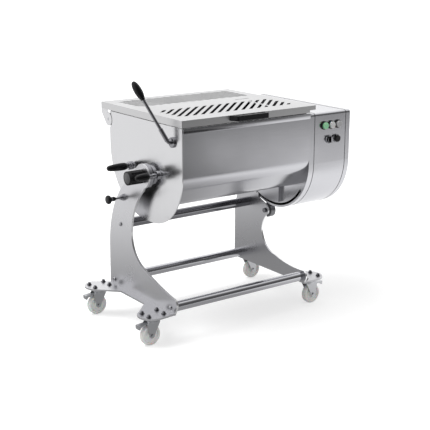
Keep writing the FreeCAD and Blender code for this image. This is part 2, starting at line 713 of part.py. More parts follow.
def button_bezels():
    rings = []
    for name, (x, z) in button_places().items():
        base = (x, front_y - size.bezel_height, z)
        outer = rod(name + "Bezel", "sizes.bezel_radius", "sizes.bezel_height", base, "Y")
        inner = rod(name + "BezelBore", "sizes.button_stem_radius + sizes.seat_gap",
                    "sizes.bezel_height", base, "Y")
        rings.append(bored(name + "Ring", outer, [inner]))
    return node("switch_bezels", group("SwitchBezels", rings))


def button(name, x, z):
    """Push button: a domed head in front of its bezel and a stem into the housing."""
    head_gap = size.button_travel + size.seat_gap
    start = front_y - size.bezel_height - head_gap
    body = new_body(name.replace("_", " ").title().replace(" ", ""))
    stem = size.button_stem
    head = size.button_height
    profile = [
        (0, 0), (size.button_stem_radius, 0), (size.button_stem_radius, stem),
        (size.button_radius, stem), (size.button_radius, stem + head * 0.6),
        ((size.button_radius * 0.92, stem + head * 0.9), (size.button_radius * 0.7, stem + head)),
        (0, stem + head),
    ]
    revolve(body, sketch_on(body, "XZ_Plane", 0, [profile]), "V_Axis")
    body.Placement = Placement(Vector(x, start + stem, z), Rotation(Vector(1, 0, 0), 90))
    return node(name, body)


def selector_knob(x, z):
    """Turning selector with a raised finger bar."""
    start = front_y - size.bezel_height - size.seat_gap
    disc = rod("SelectorDisc", "sizes.knob_radius", "sizes.knob_height / 2",
               (x, start - size.knob_height / 2, z), "Y")
    stem = rod("SelectorStem", "sizes.button_stem_radius", "sizes.button_stem",
               (x, start, z), "Y")
    bar_width = size.knob_radius * 0.55
    bar = block("SelectorBar", ("sizes.knob_radius * 0.55", "sizes.knob_height", "sizes.knob_radius * 1.8"),
                (x - bar_width / 2, start - size.knob_height, z - size.knob_radius * 0.9))
    return node("selector_knob", joined("SelectorKnob", [disc, stem, bar]))


def left_plate_outline():
    """Left side plate: a pivot lobe on a curved neck over a long foot."""
    top_tangent = around(pivot, size.lobe_radius, 49)
    neck = around(pivot, size.lobe_radius, 255)
    tube_y, tube_z = tube_places["front"]
    return [
        top_tangent,
        (around(pivot, size.lobe_radius, 150), neck),
        (pivot[0] - 3, pivot[1] - 73),
        ((-16, 566), (13, 452)),
        ((-8, 362), (-85, 300)),
        ((-200, 257), (tube_y - 39, tube_z + 45)),
        ((tube_y - 49, tube_z + 30), (tube_y - 50, tube_z + 10)),
        (size.foot_front, size.foot_height),
        (size.foot_rear, size.foot_height),
        (size.foot_rear - 3, 330),
        ((211, 444), (160, 577)),
        (112, 642),
    ]


def right_plate_outline():
    """Right side plate: an ear for the support roller and a tab for the slot pin."""
    tube_y, tube_z = tube_places["front"]
    ear = roller_centre
    pin_angle = -size.slot_pin_angle
    tab_in = size.slot_radius - size.pin_tab
    edge = rim_radius + size.seat_gap * 10
    return [
        around(pivot, edge, pin_angle + 9),
        around(pivot, tab_in + 3, pin_angle + 3),
        (around(pivot, tab_in, pin_angle), around(pivot, tab_in + 3, pin_angle - 3)),
        around(pivot, edge, pin_angle - 8),
        (around(pivot, edge, -72), around(pivot, edge + 4, -80)),
        around(ear, size.ear_round, 160),
        (around(ear, size.ear_round, 210), around(ear, size.ear_round, 250)),
        ((ear[0] + 12, ear[1] - 52), (ear[0] + 28, ear[1] - 116)),
        ((ear[0] + 2, ear[1] - 178), (ear[0] - 76, ear[1] - 220)),
        ((ear[0] - 180, ear[1] - 244), (tube_y - 20, tube_z + 33)),
        ((tube_y - 40, tube_z + 20), (tube_y - 44, tube_z - 4)),
        (size.foot_front, size.foot_height),
        (size.foot_rear, size.foot_height),
        (size.foot_rear - 2, 364),
        ((212, 470), (176, 540)),
    ]


def flange_outline(outer, way):
    """Foot flange in plan, with a round lobe over each caster."""
    def out(reach, y):
        return (outer + way * reach, y)
    front, rear = size.caster_front_y, size.caster_rear_y
    reach, radius = size.lobe_reach, size.lobe_round
    side, along = radius * 0.5, radius * 0.866
    return [
        out(0, size.foot_front), out(reach, front - radius),
        (out(reach + radius, front), out(reach + side, front + along)),
        out(size.flange_width, front + 2 * radius), out(size.flange_width, rear - 2 * radius),
        out(reach + side, rear - along),
        (out(reach + radius, rear), out(reach, rear + radius)),
        out(0, size.foot_rear),
    ]


def bolt_points(x, y):
    return [(x + i * size.bolt_x / 2, y + j * size.bolt_y / 2) for i in (-1, 1) for j in (-1, 1)]


def side_plate(label, name, inner, outer, way, outline, holes):
    body = new_body(name)
    upright = sketch_on(body, "YZ_Plane", min(inner, outer), [outline], holes)
    pad(body, upright, "sizes.side_plate")
    bolts = []
    for x, y, side in caster_places.values():
        if side == way:
            bolts += [(point, size.bolt_radius + size.seat_gap) for point in bolt_points(x, y)]
    foot = sketch_on(body, "XY_Plane", size.foot_height, [flange_outline(outer, way)], bolts)
    pad(body, foot, "sizes.flange_sheet")
    return node(label, body)


def side_plates():
    screws = [(place, size.screw_radius + size.seat_gap) for place in tube_places.values()]
    left_holes = screws + [(pivot, size.trunnion_radius + size.seat_gap),
                           ((size.index_y, size.index_height), size.bush_radius)]
    side_plate("left_side_plate", "LeftSidePlate", left_inner, left_outer, -1,
               left_plate_outline(), left_holes)
    right_holes = screws + [(roller_centre, size.roller_pin + size.fit),
                            (slot_pin, size.slot_pin_radius + size.fit)]
    side_plate("right_side_plate", "RightSidePlate", right_inner, right_outer, 1,
               right_plate_outline(), right_holes)


def cross_tube(name, place):
    length = ("sizes.trough_length + sizes.side_gap - sizes.right_gap - sizes.side_plate")
    outer = rod(name + "Tube", "sizes.tube_radius", length, (left_inner, *place))
    inner = rod(name + "TubeBore", "sizes.tube_radius - sizes.tube_wall", length,
                (left_inner, *place))
    return node(name + "_cross_tube", bored(name + "CrossTube", outer, [inner]))


def tube_plugs():
    plugs = []
    for name, place in tube_places.items():
        for side, x in (("L", left_inner), ("R", right_inner - size.plug_length)):
            outer = rod(f"{name}Plug{side}", "sizes.tube_radius - sizes.tube_wall - sizes.fit",
                        "sizes.plug_length", (x, *place))
            inner = rod(f"{name}PlugBore{side}", "sizes.screw_radius", "sizes.plug_length",
                        (x, *place))
            plugs.append(bored(f"{name}End{side}", outer, [inner]))
    return node("tube_plugs", group("TubePlugs", plugs))


def frame_screws():
    """Domed screws through the side plates into the tube ends."""
    screws = []
    reach = size.plug_length + size.side_plate
    rise, head = size.screw_head_height, size.screw_head
    profile = [
        (0, -reach), (size.screw_radius, -reach), (size.screw_radius, 0), (head, 0),
        ((head * 0.8, rise * 0.7), (head * 0.35, rise)), (0, rise),
    ]
    for name, place in tube_places.items():
        for side, x, way in (("L", left_outer, -1), ("R", right_outer, 1)):
            body = new_body(f"{name}Screw{side}")
            revolve(body, sketch_on(body, "XZ_Plane", 0, [profile]), "V_Axis")
            body.Placement = Placement(Vector(x, *place), Rotation(Vector(0, 1, 0), 90 * way))
            screws.append(body)
    return node("frame_screws", group("FrameScrews", screws))


def pivot_bearing():
    base = (left_inner, *pivot)
    outer = rod("BearingHub", "sizes.bearing_radius", "sizes.bearing_length", base)
    inner = rod("BearingBore", "sizes.trunnion_radius + sizes.fit", "sizes.bearing_length", base)
    return node("pivot_bearing", bored("PivotBearing", outer, [inner]))


def hexagon(name, radius, height, base, axis="X"):
    prism = doc.addObject("Part::Prism", name)
    prism.Polygon = 6
    prism.setExpression("Circumradius", radius)
    prism.setExpression("Height", height)
    prism.Placement = Placement(Vector(*base), TURN[axis])
    return prism


def index_plunger():
    """Plunger body in the side plate, and the pin with its knob, parked clear of the boss."""
    place = (size.index_y, size.index_height)
    body_end = left_outer - size.bush_length
    bush = rod("PlungerBush", "sizes.bush_radius", "sizes.bush_length + sizes.side_plate",
               (body_end, *place))
    nut = hexagon("PlungerNut", "sizes.nut_radius", "sizes.nut_height",
                  (left_outer - size.nut_height, *place))
    bore = rod("PlungerBore", "sizes.plunger_radius + sizes.fit",
               "sizes.bush_length + sizes.side_plate", (body_end, *place))
    node("index_plunger_housing",
         bored("PlungerHousing", joined("PlungerBody", [bush, nut]), [bore]))
    tip = trough_left - size.boss_height - size.plunger_park
    pin = rod("PlungerPin", "sizes.plunger_radius", "sizes.plunger_length",
              (tip - size.plunger_length, *place))
    knob = rod("PlungerKnob", "sizes.plunger_knob_radius", "sizes.plunger_knob_length",
               (tip - size.plunger_length - size.plunger_knob_length, *place))
    neck = rod("PlungerNeck", "sizes.bush_radius", "sizes.plunger_knob_length / 2",
               (tip - size.plunger_length, *place))
    node("index_plunger", joined("IndexPlunger", [pin, neck]))
    node("index_plunger_knob", knob)


def support_roller():
    """Roller under the housing's round rim, on a shoulder bolt in the right plate's ear."""
    start = housing_left + size.seat_gap
    outer = rod("RollerBody", "sizes.roller_radius", "sizes.roller_width",
                (start, *roller_centre))
    inner = rod("RollerBore", "sizes.roller_pin + sizes.fit", "sizes.roller_width",
                (start, *roller_centre))
    node("support_roller", bored("SupportRoller", outer, [inner]))
    head = size.nut_height
    pin = rod("RollerPin", "sizes.roller_pin",
              "sizes.side_plate + sizes.right_gap + 2 * sizes.seat_gap + sizes.roller_width",
              (right_inner, *roller_centre))
    cap = rod("RollerCap", "sizes.roller_pin + 5", "sizes.nut_height",
              (start + size.roller_width + size.seat_gap, *roller_centre))
    bolt = rod("RollerHead", "sizes.roller_pin + 4", "sizes.nut_height",
               (right_inner - head, *roller_centre))
    node("roller_bolt", joined("RollerBolt", [pin, cap, bolt]))


def slot_guide_pin():
    pin = rod("SlotPinShank", "sizes.slot_pin_radius",
              "sizes.side_plate + sizes.right_gap + sizes.pin_reach", (right_inner, *slot_pin))
    head = rod("SlotPinHead", "sizes.slot_pin_radius + 3", "sizes.slot_pin_radius",
               (right_inner - size.slot_pin_radius, *slot_pin))
    return node("slot_guide_pin", joined("SlotGuidePin", [pin, head]))


def caster_mounts():
    """Top plates with their swivel races, under the lobes of the side plates."""
    plates = []
    top = size.foot_height - size.mount_plate
    for name, (x, y, way) in caster_places.items():
        plate = block(name + "Mount", ("sizes.mount_length", "sizes.mount_width",
                                       "sizes.mount_plate"),
                      (x - size.mount_length / 2, y - size.mount_width / 2, top))
        race = rod(name + "Race", "sizes.race_radius", "sizes.race_height",
                   (x, y, top - size.race_height), "Z")
        holes = [rod(f"{name}Hole{i}", "sizes.bolt_radius + sizes.seat_gap", "sizes.mount_plate",
                     (*point, top), "Z") for i, point in enumerate(bolt_points(x, y))]
        plates.append(bored(name + "TopPlate", joined(name + "Top", [plate, race]), holes))
    return node("caster_top_plates", group("CasterTopPlates", plates))


def caster_bolts():
    bolts = []
    low = size.foot_height - size.mount_plate - size.bolt_head_height
    top = size.foot_height + size.flange_sheet
    for name, (x, y, way) in caster_places.items():
        for i, point in enumerate(bolt_points(x, y)):
            shank = rod(f"{name}Shank{i}", "sizes.bolt_radius",
                        "sizes.mount_plate + sizes.flange_sheet + sizes.bolt_head_height",
                        (*point, low), "Z")
            head = hexagon(f"{name}Head{i}", "sizes.bolt_head", "sizes.bolt_head_height",
                           (*point, top), "Z")
            nut = hexagon(f"{name}Nut{i}", "sizes.bolt_head", "sizes.bolt_head_height",
                          (*point, low), "Z")
            bolts.append(joined(f"{name}Bolt{i}", [shank, head, nut]))
    return node("caster_bolts", group("CasterBolts", bolts))


def caster_fork(name, x, y, way):
    """Pressed fork: a crown under the race, two tapering legs and the axle between them."""
    crown_top = size.foot_height - size.mount_plate - size.race_height - size.seat_gap
    crown_low = crown_top - size.crown_height
    inside = size.wheel_width / 2 + size.fork_gap
    axle_x = x + way * size.trail
    pin_x = x + way * size.pedal_pin_x
    pin_z = crown_low - size.pedal_thick
    pieces = [rod(name + "Crown", "sizes.crown_radius", "sizes.crown_height",
                  (x, y, crown_low), "Z")]
    axle = (axle_x, size.wheel_radius)
    leg = [
        (x - way * size.crown_radius * 0.8, crown_top - 2), (x + way * size.pedal_pin_x, crown_top - 2),
        (pin_x + way * 8, pin_z), around(axle, 13, 0 if way > 0 else 180),
        (around(axle, 13, 270), around(axle, 13, 180 if way > 0 else 0)),
        (x - way * size.crown_radius * 0.8, crown_low),
    ]
    for side, low in (("A", inside), ("B", -inside - size.fork_sheet)):
        body = new_body(name + "Leg" + side)
        pad(body, sketch_on(body, "XZ_Plane", low, [leg]), "sizes.fork_sheet")
        body.Placement = Placement(Vector(0, y, 0), Rotation())
        pieces.append(body)
    span = 2 * (inside + size.fork_sheet)
    axle_span = "sizes.wheel_width + 2 * sizes.fork_gap + 2 * sizes.fork_sheet + 12"
    pieces.append(rod(name + "Axle", "sizes.axle_radius", axle_span,
                      (axle_x, y - span / 2 - 6, size.wheel_radius), "Y"))
    return node(name + "_fork", joined(name + "Fork", pieces))


def caster_wheel(name, x, y, way):
    body = new_body(name + "Wheel")
    half = size.wheel_width / 2
    bore = size.axle_radius + size.fit
    hub, web, rim = bore + 9, half - 6, size.wheel_radius - 12
    profile = [
        (bore, -half), (hub, -half), (hub + 3, -web), (rim - 3, -web), (rim, -half + 2),
        (size.wheel_radius - 5, -half + 2), (size.wheel_radius, -half + 8),
        (size.wheel_radius, half - 8), (size.wheel_radius - 5, half - 2), (rim, half - 2),
        (rim - 3, web), (hub + 3, web), (hub, half), (bore, half),
    ]
    revolve(body, sketch_on(body, "XZ_Plane", 0, [profile]), "V_Axis")
    body.Placement = Placement(Vector(x + way * size.trail, y, size.wheel_radius),
                               Rotation(Vector(1, 0, 0), 90))
    return node(name + "_wheel", body)


def brake_pedal(name, x, y, way):
    """Brake pedal between the fork legs, with a turned-down tread at its end."""
    crown_low = (size.foot_height - size.mount_plate - size.race_height - size.seat_gap
                 - size.crown_height)
    pin_z = crown_low - size.pedal_thick
    body = new_body(name + "Pedal")
    start = x + way * (size.pedal_pin_x - 5)
    end = x + way * size.pedal_reach
    thick = size.pedal_thick
    trace = [
        (start, pin_z - thick), (end - way * 14, pin_z - thick), (end - way * thick, pin_z - 16),
        (end, pin_z - 16), (end, pin_z + thick / 2), (start + way * 16, pin_z + thick),
        (start, pin_z + thick * 0.7),
    ]
    low = -size.pedal_width / 2
    pin_hole = ((x + way * size.pedal_pin_x, pin_z), size.pedal_pin)
    pad(body, sketch_on(body, "XZ_Plane", low, [trace], [pin_hole]), "sizes.pedal_width")
    body.Placement = Placement(Vector(0, y, 0), Rotation())
    pin = rod(name + "PedalPin", "sizes.pedal_pin", "sizes.pedal_width + 2 * sizes.fork_gap - 1",
              (x + way * size.pedal_pin_x, y - size.pedal_width / 2 - size.fork_gap + 0.5, pin_z), "Y")
    return node(name + "_brake_pedal", joined(name + "PedalWhole", [body, pin]))


def build():
    trough_shell()
    left_end_plate()
    housing_inner_cap()
    housing_wrap()
    housing_end_cap()
    drive_cover()
    pivot_trunnion()
    pivot_knob()
    index_bosses()
    paddle_shaft("front", size.front_shaft_y, size.arm_first, 20)
    paddle_shaft("rear", size.rear_shaft_y, size.arm_first + size.arm_pitch / 2 - 12, 65)
    bearing_spindle("front", size.front_shaft_y, "front_hand_start")
    bearing_spindle("rear", size.rear_shaft_y, "rear_hand_start")
    spindle_grip("front", size.front_shaft_y, "front_hand_start", "front_hand_length")
    spindle_grip("rear", size.rear_shaft_y, "rear_hand_start", "rear_hand_length")
    spindle_collars()
    shaft_seals()
    gearbox()
    drive_motor()
    tip, rise = tilt_lever()
    lever_grip(tip, rise)
    hinge_lugs()
    lid_panel()
    lid_ears()
    lid_hinge_shaft()
    lid_handle()
    button_bezels()
    for name, (x, z) in button_places().items():
        if name == "selector_knob":
            selector_knob(x, z)
        else:
            button(name, x, z)
    side_plates()
    for name, place in tube_places.items():
        cross_tube(name, place)
    tube_plugs()
    frame_screws()
    pivot_bearing()
    index_plunger()
    support_roller()
    slot_guide_pin()
    caster_mounts()
    caster_bolts()
    for name, (x, y, way) in caster_places.items():
        caster_fork(name, x, y, way)
        caster_wheel(name, x, y, way)
        brake_pedal(name, x, y, way)


def check_and_write():
    """Stop on any failed feature, then write one file per sub-part."""
    doc.recompute()
    for item in doc.Objects:
        if "Invalid" in item.State or "Error" in item.State:
            raise RuntimeError(f"{item.Label} failed: {item.State}")
    for item in nodes:
        if item.Shape.isNull() or not item.Shape.isValid():
            raise RuntimeError(f"{item.Label} has no valid shape")
    os.makedirs("parts", exist_ok=True)
    for item in nodes:
        item.Shape.exportStep(f"parts/{item.Label}.step")


build()
check_and_write()
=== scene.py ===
import bmesh
import bpy
import math
from mathutils import Matrix, Vector


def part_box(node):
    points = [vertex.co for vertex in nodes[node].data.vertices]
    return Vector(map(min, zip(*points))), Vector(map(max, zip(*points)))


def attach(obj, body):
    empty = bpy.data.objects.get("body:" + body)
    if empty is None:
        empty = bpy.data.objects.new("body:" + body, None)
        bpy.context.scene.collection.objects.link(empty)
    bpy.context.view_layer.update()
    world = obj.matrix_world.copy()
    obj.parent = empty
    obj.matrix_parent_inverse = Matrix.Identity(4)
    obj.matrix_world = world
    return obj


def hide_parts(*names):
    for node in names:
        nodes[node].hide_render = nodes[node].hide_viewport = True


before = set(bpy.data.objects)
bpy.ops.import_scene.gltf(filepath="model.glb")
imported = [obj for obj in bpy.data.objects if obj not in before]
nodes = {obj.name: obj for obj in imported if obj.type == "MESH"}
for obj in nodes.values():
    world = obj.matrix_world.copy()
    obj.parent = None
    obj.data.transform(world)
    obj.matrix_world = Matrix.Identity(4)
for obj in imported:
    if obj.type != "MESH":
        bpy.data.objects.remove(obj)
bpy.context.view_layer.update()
print("frame loaded:", len(nodes), "nodes")

# Colours and shader nodes


def linearColour(hexText, factor=1.0):
    values = []
    for start in (0, 2, 4):
        part = int(hexText[start:start + 2], 16) / 255
        part = part / 12.92 if part <= 0.04045 else ((part + 0.055) / 1.055) ** 2.4
        values.append(min(1.0, part * factor))
    return (*values, 1.0)


def addNode(tree, kind, settings=None, inputs=None):
    node = tree.nodes.new(kind)
    for name, value in (settings or {}).items():
        setattr(node, name, value)
    for name, value in (inputs or {}).items():
        socket = node.inputs[name]
        if isinstance(value, bpy.types.NodeSocket):
            tree.links.new(value, socket)
        else:
            socket.default_value = value
    return node


def newMaterial(name):
    material = bpy.data.materials.new(name)
    material.use_nodes = True
    material.node_tree.nodes.clear()
    return material, material.node_tree


def finishMaterial(tree, shader):
    addNode(tree, "ShaderNodeOutputMaterial", None, {"Surface": shader})


noiseRange = {"From Min": 0.3, "From Max": 0.7}  # where most of a noise texture's values lie

# Brushed stainless sheet: a belt has ground it along one direction, so fine lines run one way
# and the sheet is a little cloudy from cleaning. The real lines are about 0.2 mm apart; they
# are drawn at lineMm so that they show.
grinding = {
    "lineLength": 50, "lineDark": 0.93, "lineBright": 1.04, "cloudScale": 4.0, "detail": 3.0,
    "smoother": 0.03, "rougher": 0.04, "lineDepth": 0.0003, "fadeHeight": 0.08,
}


def paintedEdgeHighlight(tree, place, colour, highlightHex, foot):
    # painted highlight: the cut edges of a plate that stands across X get a brighter colour than
    # its ground faces
    normal = addNode(tree, "ShaderNodeSeparateXYZ", None, {"Vector": place.outputs["Normal"]})
    spot = addNode(tree, "ShaderNodeSeparateXYZ", None, {"Vector": place.outputs["Object"]})
    size = addNode(tree, "ShaderNodeMath", {"operation": "ABSOLUTE"}, {0: normal.outputs["X"]})
    edge = addNode(tree, "ShaderNodeMath", {"operation": "LESS_THAN"},
                   {0: size.outputs["Value"], 1: 0.5})
    above = addNode(tree, "ShaderNodeMath", {"operation": "GREATER_THAN"},
                    {0: spot.outputs["Z"], 1: foot})
    both = addNode(tree, "ShaderNodeMath", {"operation": "MULTIPLY"},
                   {0: edge.outputs["Value"], 1: above.outputs["Value"]})
    return addNode(tree, "ShaderNodeMixRGB", None,
                   {"Fac": both.outputs["Value"], "Color1": colour,
                    "Color2": linearColour(highlightHex)}).outputs["Color"]


def shadedFace(tree, place, colour, hexText, side, start, shade):
    # little light reaches the upper part of the face that the tub stands against or encloses
    normal = addNode(tree, "ShaderNodeSeparateXYZ", None, {"Vector": place.outputs["Normal"]})
    spot = addNode(tree, "ShaderNodeSeparateXYZ", None, {"Vector": place.outputs["Object"]})
    turned = addNode(tree, "ShaderNodeMath", {"operation": "MULTIPLY"},
                     {0: normal.outputs["X"], 1: side})
    inner = addNode(tree, "ShaderNodeMath", {"operation": "GREATER_THAN"},
                    {0: turned.outputs["Value"], 1: 0.5})
    high = addNode(tree, "ShaderNodeMapRange", None,
                   {"Value": spot.outputs["Z"], "From Min": start,
                    "From Max": start + grinding["fadeHeight"]})
    unlit = addNode(tree, "ShaderNodeMath", {"operation": "MULTIPLY"},
                    {0: inner.outputs["Value"], 1: high.outputs["Result"]})
    return addNode(tree, "ShaderNodeMixRGB", None,
                   {"Fac": unlit.outputs["Value"], "Color1": colour,
                    "Color2": linearColour(hexText, shade)}).outputs["Color"]


def shadedInside(tree, place, colour, hexText, middle, shade):
    # a pan's inside faces its middle and is shaded
    away = addNode(tree, "ShaderNodeVectorMath", {"operation": "SUBTRACT"},
                   {0: place.outputs["Object"], 1: middle})
    facing = addNode(tree, "ShaderNodeVectorMath", {"operation": "DOT_PRODUCT"},
                     {0: place.outputs["Normal"], 1: away.outputs["Vector"]})
    inside = addNode(tree, "ShaderNodeMath", {"operation": "LESS_THAN"},
                     {0: facing.outputs["Value"], 1: 0.0})
    return addNode(tree, "ShaderNodeMixRGB", None,
                   {"Fac": inside.outputs["Value"], "Color1": colour,
                    "Color2": linearColour(hexText, shade)}).outputs["Color"]


def brushedSteel(name, hexText, grain, roughness, lineMm=1.4, depth=0.1,
                 edges=None, face=None, pan=None):
    material, tree = newMaterial(name)
    place = addNode(tree, "ShaderNodeTexCoord")
    across = 1000 / lineMm
    scale = [across / grinding["lineLength"] if axis in grain else across for axis in "xyz"]
    stretch = addNode(tree, "ShaderNodeMapping", None,
                      {"Vector": place.outputs["Object"], "Scale": scale})
    lines = addNode(tree, "ShaderNodeTexNoise", None,
                    {"Vector": stretch.outputs["Vector"], "Scale": 1.0,
                     "Detail": grinding["detail"]})
    clouds = addNode(tree, "ShaderNodeTexNoise", None,
                     {"Vector": place.outputs["Object"], "Scale": grinding["cloudScale"],
                      "Detail": grinding["detail"]})
    tone = addNode(tree, "ShaderNodeMixRGB", None,
                   {"Fac": lines.outputs["Fac"],
                    "Color1": linearColour(hexText, grinding["lineDark"]),
                    "Color2": linearColour(hexText, grinding["lineBright"])})
    colour = tone.outputs["Color"]
    # cut edges get a painted highlight
    if edges:
        colour = paintedEdgeHighlight(tree, place, colour, **edges)
    if face:
        colour = shadedFace(tree, place, colour, hexText, **face)
    if pan:
        colour = shadedInside(tree, place, colour, hexText, **pan)
    rough = addNode(tree, "ShaderNodeMapRange", None,
                    {"Value": clouds.outputs["Fac"], **noiseRange,
                     "To Min": roughness - grinding["smoother"],
                     "To Max": roughness + grinding["rougher"]})
    bump = addNode(tree, "ShaderNodeBump", None,
                   {"Height": lines.outputs["Fac"], "Strength": depth,
                    "Distance": grinding["lineDepth"]})
    shader = addNode(tree, "ShaderNodeBsdfPrincipled", None,
                     {"Base Color": colour, "Metallic": 1.0, "Roughness": rough.outputs["Result"],
                      "Normal": bump.outputs["Normal"]})
    finishMaterial(tree, shader.outputs["BSDF"])
    return material


# Buffed stainless and plate: nearly a mirror, with faint finger smudges
buffing = {
    "smudgeScale": 12.0, "detail": 4.0, "clean": 0.7, "smudged": 1.4, "dark": 0.94, "bright": 1.03,
}


def polishedSteel(name, hexText, roughness):
    material, tree = newMaterial(name)
    place = addNode(tree, "ShaderNodeTexCoord")
    smudge = addNode(tree, "ShaderNodeTexNoise", None,
                     {"Vector": place.outputs["Object"], "Scale": buffing["smudgeScale"],
                      "Detail": buffing["detail"]})
    rough = addNode(tree, "ShaderNodeMapRange", None,
                    {"Value": smudge.outputs["Fac"], **noiseRange,
                     "To Min": roughness * buffing["clean"],
                     "To Max": roughness * buffing["smudged"]})
    tone = addNode(tree, "ShaderNodeMixRGB", None,
                   {"Fac": smudge.outputs["Fac"],
                    "Color1": linearColour(hexText, buffing["dark"]),
                    "Color2": linearColour(hexText, buffing["bright"])})
    shader = addNode(tree, "ShaderNodeBsdfPrincipled", None,
                     {"Base Color": tone.outputs["Color"], "Metallic": 1.0,
                      "Roughness": rough.outputs["Result"]})
    finishMaterial(tree, shader.outputs["BSDF"])
    return material


# Moulded plastic: the tool's spark-eroded grain, drawn at grainMm, and slightly uneven gloss
moulding = {
    "patchScale": 25.0, "detail": 2.0, "dark": 0.9, "bright": 1.12, "glossier": 0.04,
    "duller": 0.06, "grainStrength": 0.12, "grainDepth": 0.0003, "softDepth": 0.01,
}


def mouldedPlastic(name, hexText, roughness, grainMm=1.2, specular=0.5, soft=0.0):
    material, tree = newMaterial(name)
    place = addNode(tree, "ShaderNodeTexCoord")
    grain = addNode(tree, "ShaderNodeTexNoise", None,
                    {"Vector": place.outputs["Object"], "Scale": 1000 / grainMm,
                     "Detail": moulding["detail"]})
    patches = addNode(tree, "ShaderNodeTexNoise", None,
                      {"Vector": place.outputs["Object"], "Scale": moulding["patchScale"],
                       "Detail": moulding["detail"]})
    tone = addNode(tree, "ShaderNodeMixRGB", None,
                   {"Fac": patches.outputs["Fac"],
                    "Color1": linearColour(hexText, moulding["dark"]),
                    "Color2": linearColour(hexText, moulding["bright"])})
    rough = addNode(tree, "ShaderNodeMapRange", None,
                    {"Value": patches.outputs["Fac"], **noiseRange,
                     "To Min": roughness - moulding["glossier"],
                     "To Max": roughness + moulding["duller"]})
    bump = addNode(tree, "ShaderNodeBump", None,
                   {"Height": grain.outputs["Fac"], "Strength": moulding["grainStrength"],
                    "Distance": moulding["grainDepth"]})
    shader = addNode(tree, "ShaderNodeBsdfPrincipled", None,
                     {"Base Color": tone.outputs["Color"], "Roughness": rough.outputs["Result"],
                      "Normal": bump.outputs["Normal"], "Specular IOR Level": specular,
                      "Subsurface Weight": soft, "Subsurface Scale": moulding["softDepth"]})
    finishMaterial(tree, shader.outputs["BSDF"])
    return material


# Sheets of the tub: belt-ground stainless. Flat plates have upright lines, and folded sheets
# have lines along the tub, so their highlights are drawn out across it.
# the end plate's cut edges get a painted highlight
endSteel = brushedSteel("groundEndPlate", "D6D6D8", "z", 0.2,
                        edges={"highlightHex": "EDEDEF", "foot": 0.0},
                        face={"side": 1, "start": 0.68, "shade": 0.35})
troughSteel = brushedSteel("groundTroughSheet", "C3C3C7", "x", 0.22)
innerSteel = brushedSteel("shadedTroughInside", "B4B4B8", "x", 0.36)
housingSteel = brushedSteel("groundHousingSheet", "C6C6CA", "x", 0.22)
capSteel = brushedSteel("groundInnerCap", "C6C6CA", "x", 0.22,
                        edges={"highlightHex": "C6C6CA", "foot": 0.0},
                        face={"side": -1, "start": 0.68, "shade": 0.35})
lidSteel = brushedSteel("groundLidSheet", "CBCBCC", "x", 0.36,
                        pan={"middle": (-0.007, 0.019, 1.02), "shade": 0.6})
coverSteel = brushedSteel("groundCoverPlate", "BEBEC2", "z", 0.3)

# Side plates: laser-cut from thick sheet, with a painted highlight on the cut edges above the
# caster flanges
leftPlateSteel = brushedSteel("groundLeftPlate", "CBCBCE", "z", 0.28,
                              edges={"highlightHex": "F4F4F5", "foot": 0.149},
                              face={"side": 1, "start": 0.54, "shade": 0.03})
# the right plate's darker tone than the left plate is painted shade
shadedRightPlateSteel = brushedSteel("shadedGroundRightPlate", "BABABD", "z", 0.3,
                               edges={"highlightHex": "F8F8F9", "foot": 0.149})

# Turned, cast and plated metal: finer lines on turned parts, dull grain on the casting
turnedSteel = brushedSteel("turnedStainless", "B9B9BD", "x", 0.22, 0.8)
rollerSteel = brushedSteel("turnedRoller", "7A7A7D", "x", 0.35, 0.8)
zincPlate = brushedSteel("zincPlate", "BFC0C3", "z", 0.33, 2.0)
castAluminium = brushedSteel("castGearCase", "A4A5A8", "x", 0.5, 4.0, 0.3)

# Tube, rod and bolts: buffed, so they mirror the room and show smudges
tubeSteel = polishedSteel("buffedTube", "C6C6CA", 0.07)
highTubeSteel = polishedSteel("shadedTube", "8A8A8E", 0.09)
chrome = polishedSteel("nickelPlate", "A8A8AC", 0.12)
# the lever rod's darker tone than the tube is painted shade
shadedLeverSteel = polishedSteel("buffedLeverRod", "8C8C90", 0.14)
boltSteel = polishedSteel("boltStainless", "77777B", 0.2)

# Plastic, paint and rubber: glossy hard handles, waxy nylon wheels and clear button caps
phenolic = mouldedPlastic("blackPhenolic", "0D0D0F", 0.28, specular=0.28)
polyamide = mouldedPlastic("blackPolyamide", "101012", 0.4, specular=0.25)
knobFace = mouldedPlastic("greyKnobInsert", "3C3C3E", 0.45)
nylon = mouldedPlastic("naturalNylon", "E0E0DE", 0.42, soft=0.25)
greenCap = mouldedPlastic("greenButtonLens", "8BC79B", 0.25, soft=0.1)
whiteCap = mouldedPlastic("whiteButtonLens", "C4C4C4", 0.25, soft=0.1)
greyCap = mouldedPlastic("greyButtonLens", "A5A5A6", 0.25)
darkCap = mouldedPlastic("blackButtonCap", "141416", 0.3, specular=0.3)
bezelBlack = mouldedPlastic("blackBezel", "1B1B1D", 0.3, specular=0.3)
motorPaint = mouldedPlastic("motorEnamel", "4A545C", 0.4)
nitrile = mouldedPlastic("nitrileRubber", "151515", 0.6, specular=0.25)
sealant = mouldedPlastic("darkJointLine", "2E2E30", 0.6, specular=0.2)

